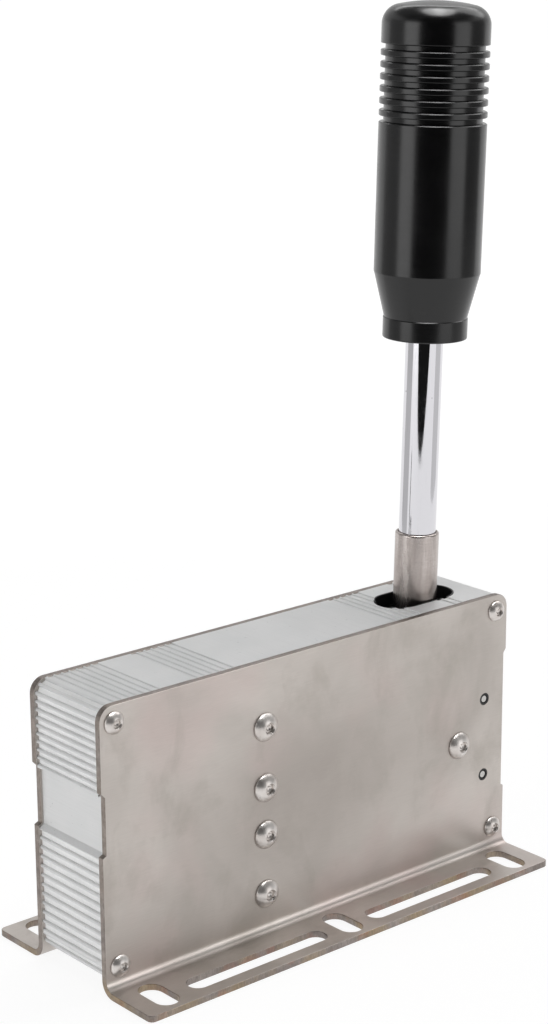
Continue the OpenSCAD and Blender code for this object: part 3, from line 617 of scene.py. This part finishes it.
def makeScrewTree():
    # the head's profile comes in as an object, the places as points; the hex is cut once
    labels = ["Key", "Socket Depth", "Head Height", "Turn"]
    tree, g = newTree("buttonScrews", labels, objects=["Head"])
    head = geoNode(tree, "ObjectInfo", {"Object": g["Head"]})
    corner = math2(tree, "DIVIDE", g["Key"], 2 * math.cos(math.pi / 6))
    wide = math2(tree, "MULTIPLY", corner, 1.28)
    deep = math2(tree, "MULTIPLY", g["Socket Depth"], 2)
    hexagon = geoNode(tree, "MeshCylinder", {"Vertices": 6, "Radius": corner, "Depth": deep})
    mouth = geoNode(tree, "MeshCone", {
        "Vertices": 36, "Radius Bottom": wide, "Radius Top": 0.0, "Depth": wide})
    top = addNode(tree, "CombineXYZ", {"Z": g["Head Height"]})[0]
    cutters = [geoNode(tree, "Transform", {
        "Geometry": shape[0], "Translation": top, "Rotation": (turn, 0, 0)})[0]
        for shape, turn in ((mouth, math.pi), (hexagon, 0))]
    cut = geoNode(tree, "MeshBoolean", {
        0: head["Geometry"], 1: cutters}, operation="DIFFERENCE", solver="EXACT")
    spin = math2(tree, "MULTIPLY", geoNode(tree, "InputIndex")[0], g["Turn"])
    euler = addNode(tree, "CombineXYZ", {"Z": spin})
    copies = geoNode(tree, "InstanceOnPoints", {
        "Points": g["Geometry"], "Instance": cut[0], "Rotation": euler[0]})
    return closeTree(tree, copies[0], g["Material"])


def makeSpringTree():
    tree, g = newTree("returnSpring", ["Turns", "Coil Radius", "Wire Radius", "Height"])
    coil = geoNode(tree, "CurveSpiral", {
        "Resolution": 40, "Rotations": g["Turns"], "Height": g["Height"],
        "Start Radius": g["Coil Radius"], "End Radius": g["Coil Radius"]})
    section = geoNode(tree, "CurvePrimitiveCircle", {
        "Resolution": 14, "Radius": g["Wire Radius"]})
    wire = geoNode(tree, "CurveToMesh", {
        "Curve": coil[0], "Profile Curve": section[0], "Fill Caps": True})
    return closeTree(tree, wire[0], g["Material"])


def grown(tree, values, points=(), edges=(), sharpAngle=40):
    # runs a tree on a carrier mesh and returns a plain mesh
    carrier = bpy.data.meshes.new("carrier")
    carrier.from_pydata(list(points), list(edges), [])
    holder = placed("carrier", carrier)
    modifier = holder.modifiers.new("build", "NODES")
    modifier.node_group = tree
    sockets = {s.name: s.identifier for s in tree.interface.items_tree
               if s.item_type == "SOCKET" and s.in_out == "INPUT"}
    for label, value in values.items():
        modifier[sockets[label]] = value
    mesh = evaluatedMesh(holder)
    bpy.data.objects.remove(holder)
    smoothed(mesh, sharpAngle)
    return mesh


def joined(name, meshes, material):
    # one piece out of several meshes, each in its place
    shell = bmesh.new()
    for m in meshes:
        shell.from_mesh(m)
    mesh = bpy.data.meshes.new(name)
    shell.to_mesh(mesh)
    shell.free()
    mesh.materials.clear()
    mesh.materials.append(material)
    mesh.polygons.foreach_set("material_index", [0] * len(mesh.polygons))
    return placed(name, mesh)


# ribbed ring

ring = {"length": 174, "height": 91.5, "width": 31.9, "lift": 3.5, "wall": 3.5, "corner": 5.5,
        "ribDepth": 0.85, "topDepth": 0.42, "crest": 0.62, "ribRoot": 0.6, "gapWidth": 3.05,
        "recess": 1.6, "recessWall": 0.3, "boss": 4.7, "bossIn": 5.0, "bossDrop": 5.75,
        "slot": (31.5, 17.0, 60.2), "slotChamfer": 0.25, "cutter": (8, 0.3, 6),
        "topBands": [(-80.9, 7, 2.85), (-48.5, 6, 2.85), (36.3, 5, 2.85), (64.0, 2, 2.85)],
        "frontBands": [(18.65, 9, 2.65), (-5.45, 11, -3.19)], "frontRecess": (-3.85, 16.75),
        "rearBands": [(27.85, 5, 2.65), (-28.45, 4, -3.19)], "rearRecess": (-26.25, 25.65),
        "cornerGaps": [(1, 28), (1, 62), (-1, 10), (-1, 45)]}


def bandSpan(first, count, pitch):
    last = first + (count - 1) * pitch
    reach = pitch / 2
    return tuple(sorted((first - reach, last + reach)))


def pocket(start, end, depth, crest):
    # rounded shoulders down to the floor between the ribs
    crest = min(crest, depth)
    turn = [math.pi / 2 * k / 4 for k in range(5)]
    down = [(start + crest * math.sin(a), crest * (1 - math.cos(a))) for a in turn]
    down.append((start + crest, depth))
    return down + [(start + end - s, d) for s, d in reversed(down)]


def ringOutline(r):
    # s runs along the rounded outline from the underside's middle by the rear end, the top
    # and the front end; the sides are their middle's s, half their length, middle and way
    halfL, halfH, c = r["length"] / 2, r["height"] / 2, r["corner"]
    flatL, flatH, quarter = halfL - c, halfH - c, c * math.pi / 2
    rear = flatL + quarter + flatH
    top = rear + flatH + quarter + flatL
    front = top + flatL + quarter + flatH
    total = front + flatH + quarter + flatL
    sides = [(0, flatL, (0, -halfH), (1, 0)), (rear, flatH, (halfL, 0), (0, 1)),
             (top, flatL, (0, halfH), (-1, 0)), (front, flatH, (-halfL, 0), (0, -1)),
             (total, flatL, (0, -halfH), (1, 0))]

    def base(s):
        # a point of the plain rounded outline and its outward direction
        for at, half, middle, (ax, az) in sides:
            along, out, over = Vector((ax, az)), Vector((az, -ax)), s - at - half
            if over <= 0:
                return Vector(middle) + along * (s - at), out
            if over <= quarter:
                turned = out * math.cos(over / c) + along * math.sin(over / c)
                return Vector(middle) + along * half + (turned - out) * c, turned

    features = []

    def cut(at, way, span, depth):
        start, end = sorted(at + way * v for v in span)
        features.append(pocket(start, end, depth, r["crest"]))

    for band in r["topBands"]:
        span = bandSpan(*band)
        cut(top, -1, span, r["topDepth"])
        cut(total if span[1] <= 0 else 0, 1, span, r["topDepth"])
    for band in r["frontBands"]:
        cut(front, -1, bandSpan(*band), r["ribDepth"])
    for band in r["rearBands"]:
        cut(rear, 1, bandSpan(*band), r["ribDepth"])
    for upper, angle in r["cornerGaps"]:
        at, half = flatH + quarter * angle / 90, r["gapWidth"] / 2
        cut(front, -upper, (at - half, at + half), r["ribDepth"])
    # the recesses' lower walls slope and the upper ones are steep
    d = r["recess"]
    for at, way, (low, high) in ((front, -1, r["frontRecess"]), (rear, 1, r["rearRecess"])):
        ends = [(low, 0), (low + d, d), (high - r["recessWall"], d), (high, 0)]
        features.append(sorted((at + way * v, depth) for v, depth in ends))
    knots = []
    for at, half, _, _ in sides[:4]:
        for k in range(9):
            s = at + half + quarter * k / 8
            if not any(f[0][0] < s < f[-1][0] for f in features):
                knots.append((s, 0))
    for f in sorted(features, key=lambda f: f[0][0]):
        knots += f
    points, depths = [], []
    for s, depth in sorted(knots, key=lambda knot: round(knot[0], 6)):
        p, out = base(s)
        q = p - out * depth
        if not points or (q - points[-1]).length > 1e-5:
            points.append(q)
            depths.append(depth)
    return points, depths


def ringInside(r):
    # an arc round each corner screw's boss, the first from the end wall to the top wall
    halfL, halfH, b, wall = r["length"] / 2, r["height"] / 2, r["boss"], r["wall"]
    start = -math.degrees(math.acos((r["bossIn"] - wall) / b))
    end = -180 - math.degrees(math.asin((r["bossDrop"] - wall) / b))
    arc = arcPoints(halfL - r["bossIn"], halfH - r["bossDrop"], b, start, end, 16)
    corners = ((1, 1, 1), (-1, 1, -1), (-1, -1, 1), (1, -1, -1))
    return [Vector((sx * x, sz * z)) for sx, sz, way in corners for x, z in arc[::way]]


def cutSlot(piece, r):
    # stadium cutter with a small flare, so that the slot's rim is broken
    length, width, x = r["slot"]
    below, over, above = r["cutter"]
    z, flare = r["lift"] + r["height"], r["slotChamfer"]
    levels = [(z - below, 0), (z - flare, 0), (z + over, flare + over),
              (z + above, flare + over)]
    verts, faces = [], []
    for height, more in levels:
        loop = slotLoop(x, 0, length + 2 * more, width + 2 * more, "x", 24)
        verts += [(q.x * mm, q.y * mm, height * mm) for q in loop]
    n = len(loop)
    last = len(verts) - n
    for start in range(0, last, n):
        faces += strip(start, start + n, n)
    faces += [tuple(range(n)), tuple(range(last, last + n))]
    cutter = meshObject("slotCutter", verts, faces, [satinAluminium])
    cut = piece.modifiers.new("leverSlot", "BOOLEAN")
    cut.object, cut.operation, cut.solver = cutter, "DIFFERENCE", "EXACT"
    mesh = evaluatedMesh(piece)
    piece.modifiers.clear()
    piece.data = mesh
    bpy.data.objects.remove(cutter)
    mesh.shade_smooth()
    mesh.set_sharp_from_angle(angle=math.radians(28))


def makeRing(r):
    (outer, depths), inner = ringOutline(r), ringInside(r)
    middle = r["lift"] + r["height"] / 2
    verts, faces, kinds, starts = [], [], [], {}
    loops = [outer, inner]
    for which, loop in enumerate(loops):
        for side in (-1, 1):
            starts[which, side], y = len(verts), side * r["width"] / 2 * mm
            verts += [(q.x * mm, y, (q.y + middle) * mm) for q in loop]
        n = len(loop)
        faces += strip(starts[which, -1], starts[which, 1], n)
        # groove floors take the second finish, painted paler against the shade between the
        # ribs
        kinds += [int(which == 0 and depths[i] == depths[(i + 1) % n]
                      and depths[i] in (r["ribDepth"], r["topDepth"])) for i in range(n)]
    triangles = tessellate_polygon([[Vector((q.x, q.y, 0)) for q in loop] for loop in loops])
    for side in (-1, 1):
        index = [starts[w, side] + i for w, loop in enumerate(loops) for i in range(len(loop))]
        faces += [tuple(index[i] for i in t) for t in triangles]
        kinds += [0] * len(triangles)
    body = meshObject("ribbedRing", verts, faces, [satinAluminium, paintedLiftGroove], kinds, 28)
    cutSlot(body, r)
    return body


def makeRibs(r, tree):
    middle, high = r["lift"] + r["height"] / 2, r["ribDepth"] + r["ribRoot"]
    halfL, halfH = r["length"] / 2, r["height"] / 2
    meshes = []
    # each band is laid along X, facing +Z, then turned onto its face of the ring
    for bands, way, turn, away in (
            ("topBands", 1, 0, halfH), ("topBands", -1, 180, halfH),
            ("frontBands", 1, -90, halfL), ("rearBands", -1, 90, halfL)):
        for first, count, pitch in r[bands]:
            mesh = grown(tree, {
                "Count": count - 1, "Pitch": abs(pitch) * mm, "Crest Radius": r["crest"] * mm,
                "Height": high * mm, "Length": r["width"] * mm, "Material": satinAluminium})
            start = min(way * first, way * (first + (count - 1) * pitch)) + abs(pitch) / 2
            mesh.transform(shifted(0, 0, middle) @ turnedBy(turn, "Y")
                           @ shifted(start, 0, away - high / 2))
            meshes.append(mesh)
    ribs = joined("ringRibs", meshes, satinAluminium)
    cutSlot(ribs, r)
    return ribs


ribbedRing = makeRing(ring)
ringRibs = makeRibs(ring, makeRibTree())
settle(ribbedRing, "base", "anodised_aluminium", "housing")
settle(ringRibs, "base", "anodised_aluminium", "housing")
print("ring:", len(ribbedRing.data.polygons), "faces, ribs:", len(ringRibs.data.polygons))


# turned pieces on the lever

lever = {"footX": 58.8, "lean": 2.1}
leverPlace = shifted(lever["footX"], 0, pivotZ) @ turnedBy(lever["lean"], "Y")
latheTree = makeLatheTree()


def turned(profile, segments, material, sharpAngle, core=0.5):
    # profile points are (radius, height); the circle is a thin core that the sweep hangs on
    points = [((radius - core) * mm, -height * mm, 0) for radius, height in profile]
    edges = [(i, i + 1) for i in range(len(points) - 1)]
    return grown(latheTree, {"Segments": segments, "Core Radius": core * mm,
                             "Material": material}, points, edges, sharpAngle)


def turnedPiece(name, profile, segments, material, sharpAngle, slotName, node, lift=0):
    mesh = turned(profile, segments, material, sharpAngle)
    mesh.transform(leverPlace @ shifted(0, 0, lift))
    piece = placed(name, mesh)
    settle(piece, "lever", slotName, node)
    return piece


knob = {"grip": 35.6, "neck": 28.4, "neckHeight": 7, "taper": 15, "height": 110.2,
        "topRadius": 6.6, "crownRadius": 60, "grooves": 7, "grooveWidth": 1.9,
        "groovePitch": 3.87, "grooveDepth": 1.5, "grooveDrop": 13.9, "landEdge": 0.3,
        "bore": 10.0, "boreDepth": 60, "foot": 141}


def knobProfile(k):
    r, neck, h = k["grip"] / 2, k["neck"] / 2, k["height"]
    bore, deep, bend = k["bore"], k["boreDepth"], k["neckHeight"]
    shoulder = bend + k["taper"]
    points = [(0, deep), (bore, deep), (bore, 0.25), (bore + 0.25, 0)]
    points += arcPoints(neck - 0.5, 0.5, 0.5, -90, 0, 4)
    points += [(neck, bend - 0.2), (neck - 0.15, bend - 0.02), (neck - 0.25, bend + 0.1),
               (r - 0.25, shoulder - 0.6), (r - 0.06, shoulder - 0.15), (r, shoulder + 0.3)]
    # grooves from the lowest up: lands chamfered on top and rounded below, filleted floors
    e, half, root = k["landEdge"], k["grooveWidth"] / 2, r - k["grooveDepth"]
    first = h - k["grooveDrop"] - half - (k["grooves"] - 1) * k["groovePitch"]
    for i in range(k["grooves"]):
        at = first + i * k["groovePitch"]
        low, high = at - half, at + half
        points += [(r, low - e), (r - e, low), (root + 0.2, low), (root, low + 0.2),
                   (root, high - 0.2), (root + 0.2, high)]
        points += arcPoints(r - e, high + e, e, -90, 0, 4)
    # a round shoulder that runs into a low crown
    small, large = k["topRadius"], k["crownRadius"]
    reach = math.sqrt((large - small) ** 2 - (r - small) ** 2)
    meet = math.degrees(math.atan2(reach, r - small))
    points += arcPoints(r - small, h - large + reach, small, 0, meet, 20)
    points += arcPoints(0, h - large, large, meet, 90, 8)[1:-1]
    return points + [(0, h)]


knobPiece = turnedPiece("gripKnob", knobProfile(knob), 120, blackAnodised, 35,
                        "black_anodised", "knob", knob["foot"])
weightNormals(knobPiece)

rod = {"radius": 6.35, "edge": 0.55, "chamfer": 0.6, "foot": 12.5, "top": 199,
       "rows": (60, 110, 150)}


def rodProfile(r):
    radius, rim, foot, top = r["radius"], r["radius"] - r["edge"], r["foot"], r["top"]
    heights = [foot + r["chamfer"], *r["rows"], top - r["chamfer"]]
    return [(0, foot), (rim, foot)] + [(radius, z) for z in heights] + [(rim, top), (0, top)]


turnedPiece("chromedRod", rodProfile(rod), 96, chrome, 30, "chrome", "lever_rod")

sleeve = {"diameter": 15.0, "bore": 13.2, "foot": 9.5, "top": 74, "chamfer": 0.7}


def sleeveProfile(s):
    r, b, c, foot, top = s["diameter"] / 2, s["bore"] / 2, s["chamfer"], s["foot"], s["top"]
    points = [(0, foot + 3), (b, foot + 3), (b, top - 0.12), (b + 0.12, top),
              (r - c - 0.02, top)]
    points += arcPoints(r - c, top - c, c, 82, 8, 5)
    return points + [(r, top - c - 0.1), (r, 40), (r, foot + 0.4), (r - 0.4, foot), (0, foot)]


turnedPiece("leverSleeve", sleeveProfile(sleeve), 96, brushedSleeve, 45, "brushed_sleeve",
            "lever_sleeve")
print("knob:", len(knobPiece.data.polygons), "faces")


# screws

screwTree = makeScrewTree()
screws = {"corner": {"d": 4.0, "head": 7.28, "height": 2.2, "key": 2.5, "shank": 10.0},
          "main": {"d": 5.0, "head": 9.5, "height": 2.75, "key": 3.0, "shank": 10.8},
          "small": {"d": 3.0, "head": 5.6, "height": 1.6, "key": 2.0, "shank": 4.6}}


def headProfile(s):
    # shank, seat, short rim and a crown that is part of a sphere, from the tip up
    r, h, rim = s["head"] / 2, s["height"], s["height"] * 0.2
    crown = h * 1.06 - rim
    ball = (crown * crown + r * r) / (2 * crown)
    centre = rim + crown - ball
    flatR = math.sqrt(max(ball * ball - (h - centre) ** 2, 0.01))
    a0 = math.degrees(math.asin((rim - centre) / ball))
    a1 = math.degrees(math.atan2(h - centre, flatR))
    shaft, tip = s["d"] / 2, -s["shank"]
    points = [(0, tip), (shaft - 0.3, tip), (shaft, tip + 0.3), (shaft, 0), (r - 0.12, 0),
              (r, 0.12), (r, rim - 0.05)]
    points += arcPoints(0, centre, ball, a0 + 1.2, a1, 12)
    return points + [(0, h)]


def makeScrews(name, s, places, sides, replaced):
    mesh = turned(headProfile(s), 56, brightScrew, 30, 0.3)
    head = placed(name + "Head", mesh)
    meshes = []
    for side in sides:
        points = [(x * mm, -side * z * mm, 0) for x, z in places]
        part = grown(screwTree, {
            "Head": head, "Key": s["key"] * mm, "Socket Depth": s["height"] * 0.45 * mm,
            "Head Height": s["height"] * mm, "Turn": 0.37, "Material": brightScrew}, points,
            sharpAngle=30)
        # the row lies in X and Y facing up, and is turned to face out of its plate
        part.transform(shifted(0, side * plate["faceY"], 0) @ turnedBy(-90 * side, "X"))
        meshes.append(part)
    piece = joined(name, meshes, brightScrew)
    bpy.data.objects.remove(head)
    piece.data.set_sharp_from_angle(angle=math.radians(30))
    settle(piece, "base", "bright_steel", replaced)


for kind, size, sides in (
        ("corner", "corner", (-1, 1)), ("block", "main", (-1, 1)), ("pivot", "main", (-1, 1)),
        ("standoff", "small", (1,))):
    makeScrews(kind + "Screws", screws[size], screwPlaces[kind], sides, kind + "_screws")
print("screws made")


# return springs

spring = {"x": -22.4, "middle": pivotZ, "wire": 1.2, "outer": 10.8, "turns": 7, "low": 6.5,
          "high": 29.5}
springTree = makeSpringTree()


def makeSpring(name, s, way, node):
    # wound upwards from the middle, and turned over for the lower one
    height = s["high"] - s["low"] - s["wire"]
    mesh = grown(springTree, {
        "Turns": float(s["turns"]), "Coil Radius": (s["outer"] - s["wire"]) / 2 * mm,
        "Wire Radius": s["wire"] / 2 * mm, "Height": height * mm, "Material": springSteel},
        sharpAngle=50)
    mesh.transform(shifted(s["x"], 0, s["middle"]) @ turnedBy(0 if way > 0 else 180, "X")
                   @ shifted(0, 0, s["low"] + s["wire"] / 2))
    piece = placed(name, mesh)
    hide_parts(node)
    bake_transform(piece)


makeSpring("upperSpring", spring, 1, "upper_spring")
makeSpring("lowerSpring", spring, -1, "lower_spring")
print("springs wound")


# floor, cards and lamps

studio = {"diffuse": 0.16, "nearSky": [(0.2, 1.0), (0.55, 0.13)], "turn": (-0.12, 0.25),
          "farSky": [(0.04, 1.0), (0.12, 0.72), (0.5, 0.72), (0.62, 0.25)],
          "floorGlow": 0.88, "floorShade": 0.16, "floorPale": 0.86, "floorHalf": 6,
          "glowFrom": 0.4, "glowTo": 1.3, "lampAim": 0.1}


def raysOf(tree, *kinds):
    # 1 for rays of any of these kinds
    path, seen = addNode(tree, "LightPath"), 0.0
    for kind in kinds:
        seen = math2(tree, "MAXIMUM", path[f"Is {kind} Ray"], seen)
    return seen


def makeWorld(w, towards):
    world = bpy.data.worlds.new("paleStudio")
    bpy.context.scene.world = world
    world.use_nodes = True
    tree = world.node_tree
    seen, glossy = raysOf(tree, "Camera", "Transmission"), raysOf(tree, "Glossy")
    # metal sees the pale backdrop all round, under a dark roof that starts higher by the lens
    where = addNode(tree, "TexCoord")["Generated"]
    height = coordinate(tree, where, "Z")
    side = addNode(tree, "VectorMath", {
        0: where, 1: towards}, operation="DOT_PRODUCT")["Value"]
    skies = []
    for steps in (w["farSky"], w["nearSky"]):
        ramp = tree.nodes.new("ShaderNodeValToRGB")
        feed(tree, ramp.inputs[0], height)
        stops = ramp.color_ramp.elements
        while len(stops) < len(steps):
            stops.new(0.5)
        for stop, (place, shade) in zip(stops, steps):
            stop.position, stop.color = place, (shade, shade, shade, 1)
        skies.append(ramp.outputs["Color"])
    sky = mixColour(tree, remap(tree, side, *w["turn"], 0, 1), *skies)
    plain = math2(tree, "SUBTRACT", 1.0, math2(tree, "MAXIMUM", seen, glossy))
    lit = math2(tree, "ADD", seen, math2(tree, "MULTIPLY", glossy, sky))
    strength = math2(tree, "ADD", lit, math2(tree, "MULTIPLY", plain, w["diffuse"]))
    background = tree.nodes["Background"].inputs
    feed(tree, background["Color"], (1, 1, 1, 1))
    feed(tree, background["Strength"], strength)


def bareMaterial(name):
    # a material without its usual shader, and the socket that takes another
    material = bpy.data.materials.new(name)
    material.use_nodes = True
    tree = material.node_tree
    tree.nodes.remove(tree.nodes["Principled BSDF"])
    return material, tree, tree.nodes["Material Output"].inputs["Surface"]


def sheetPiece(name, corners, material):
    mesh = bpy.data.meshes.new(name)
    mesh.from_pydata([tuple(c) for c in corners], [], [tuple(range(len(corners)))])
    mesh.materials.append(material)
    return placed(name, mesh)


def makeFloor(w):
    # plain pale paint that keeps the shadow; eye and metal also get the white of its glow
    material, tree, surface = bareMaterial("paleFloor")
    paint, seenPaint = (addNode(tree, "BsdfDiffuse", {"Color": (shade,) * 3 + (1,)})
                        for shade in (w["floorPale"], w["floorShade"]))
    away = vectorLength(tree, objectPlace(tree))
    brightness = remap(tree, away, w["glowFrom"], w["glowTo"], w["floorGlow"], 1.0)
    glow = addNode(tree, "Emission", {"Strength": brightness})
    both = addNode(tree, "AddShader", {0: seenPaint[0], 1: glow[0]})
    seen = raysOf(tree, "Camera", "Glossy", "Transmission")
    mix = addNode(tree, "MixShader", {0: seen, 1: paint[0], 2: both[0]})
    feed(tree, surface, mix[0])
    half = w["floorHalf"]
    corners = [(x * half, y * half, 0) for x, y in ((-1, -1), (1, -1), (1, 1), (-1, 1))]
    floor = sheetPiece("floor", corners, material)


def compass(bearing):
    # the level way out at this angle rightwards from the lens, and the way across it
    a = math.radians(bearing)
    return (towardsCamera * math.cos(a) + viewRight * math.sin(a),
            viewRight * math.cos(a) - towardsCamera * math.sin(a))


def makeCard(name, bearing, distance, halfWidth, foot, high, shade, lowShade=None):
    # a studio card that only reflections see; foot is its lower edge, as places across it
    # and their heights, and the low shade holds below its middle
    material, tree, surface = bareMaterial(name)
    if lowShade:
        height = coordinate(tree, objectPlace(tree), "Z")
        shade = remap(tree, height, 0.1, 0.15, lowShade, shade)
    feed(tree, surface, addNode(tree, "Emission", {"Strength": shade})[0])
    out, across = compass(bearing)
    middle = leverAt + out * distance
    card = sheetPiece(name, [middle + across * s * halfWidth + Vector((0, 0, z))
                             for s, z in foot + [(1, high), (-1, high)]], material)
    card.visible_camera = card.visible_diffuse = card.visible_shadow = False
    card.visible_transmission = card.visible_volume_scatter = False


def makeLamp(name, bearing, rise, distance, size, shine, aside=0.0, shape="ELLIPSE",
             mirrored=True, unlit=False, only=()):
    # shine is the brightness of the softbox's face, where white paper is 1
    data = bpy.data.lights.new(name, "AREA")
    data.shape = shape
    data.size, data.size_y = size
    area = size[0] * size[1] * (math.pi / 4 if shape == "ELLIPSE" else 1)
    data.energy = shine * math.pi * area
    lamp = placed(name, data)
    level, across = compass(bearing)
    out = level * math.cos(math.radians(rise))
    out.z = math.sin(math.radians(rise))
    turn = Matrix((across, out.cross(across), out)).transposed().to_4x4()
    aim = leverAt + Vector((0, 0, studio["lampAim"]))
    lamp.matrix_world = Matrix.Translation(aim + out * distance + viewRight * aside) @ turn
    lamp.visible_glossy, lamp.visible_diffuse = mirrored, not unlit
    if only:
        group = bpy.data.collections.new(name + "Pieces")
        for pieceName in only:
            group.objects.link(bpy.data.objects[pieceName])
        lamp.light_linking.receiver_collection = group


leverAt = Vector((0.062, 0, 0))
towardsCamera = Vector((-viewLine.x, -viewLine.y, 0)).normalized()
makeWorld(studio, tuple(towardsCamera))
makeFloor(studio)

# bearing, distance, half width, lower edge, upper height, shade and low shade
lowEdge = [(0.3, 0.038), (0.62, 0.052), (0.85, 0.075), (1, 0.09)]
makeCard("darkCardByCamera", -2, 0.56, 0.43,
         [(-s, z) for s, z in reversed(lowEdge)] + [(0, 0.034)] + lowEdge, 1.2, 0.01)
makeCard("greyCardLeft", -94.5, 0.4, 0.166, [(-1, 0.02), (1, 0.02)], 0.42, 0.45, 0.6)
makeCard("greyCardRight", 94.5, 0.4, 0.162, [(-1, 0.02), (1, 0.02)], 0.42, 0.26, 0.7)
makeCard("thinCardLeft", -56, 0.42, 0.011, [(-1, 0.0), (1, 0.0)], 0.07, 0.06)

# bearing and rise in degrees, distance and size in metres, shine, step aside
makeLamp("topSoftbox", 0, 89, 1.4, (1.0, 2.0), 0.85, 0.09)
makeLamp("topFill", 0, 89, 1.4, (0.8, 1.5), 1.45, mirrored=False)
# the small bright boxes overhead are flagged off the flat sheet and the ring
polished = ["gripKnob", "leverSleeve", "cornerScrews", "blockScrews", "pivotScrews",
            "standoffScrews"]
makeLamp("topSoftboxCore", 0, 89, 1.35, (0.3, 1.0), 4.5, 0.09, only=polished)
makeLamp("topSoftboxGlint", 0, 87, 1.3, (0.82, 1.15), 5.6, 0.09, unlit=True, only=polished)
makeLamp("backSoftbox", 180, 44, 1.5, (1.6, 0.3), 2.4)
makeLamp("sideSoftbox", 128, 48, 1.5, (0.9, 1.25), 1.9)
# seen twice over, in the foot by way of the plate and the other way round
makeLamp("sheetSoftbox", 70, 18, 1.4, (1.1, 0.8), 2.4, unlit=True,
         only=["frontSidePlate", "rearSidePlate"])
makeLamp("leftSoftbox", -56, 11, 1.33, (0.75, 0.8), 1.25, shape="RECTANGLE")
makeLamp("rightSoftbox", 55, 11, 1.33, (0.83, 0.8), 0.65, shape="RECTANGLE")
makeLamp("fillByEnd", -52, 8, 1.4, (1.0, 1.0), 2.3, mirrored=False)
print("stage set")
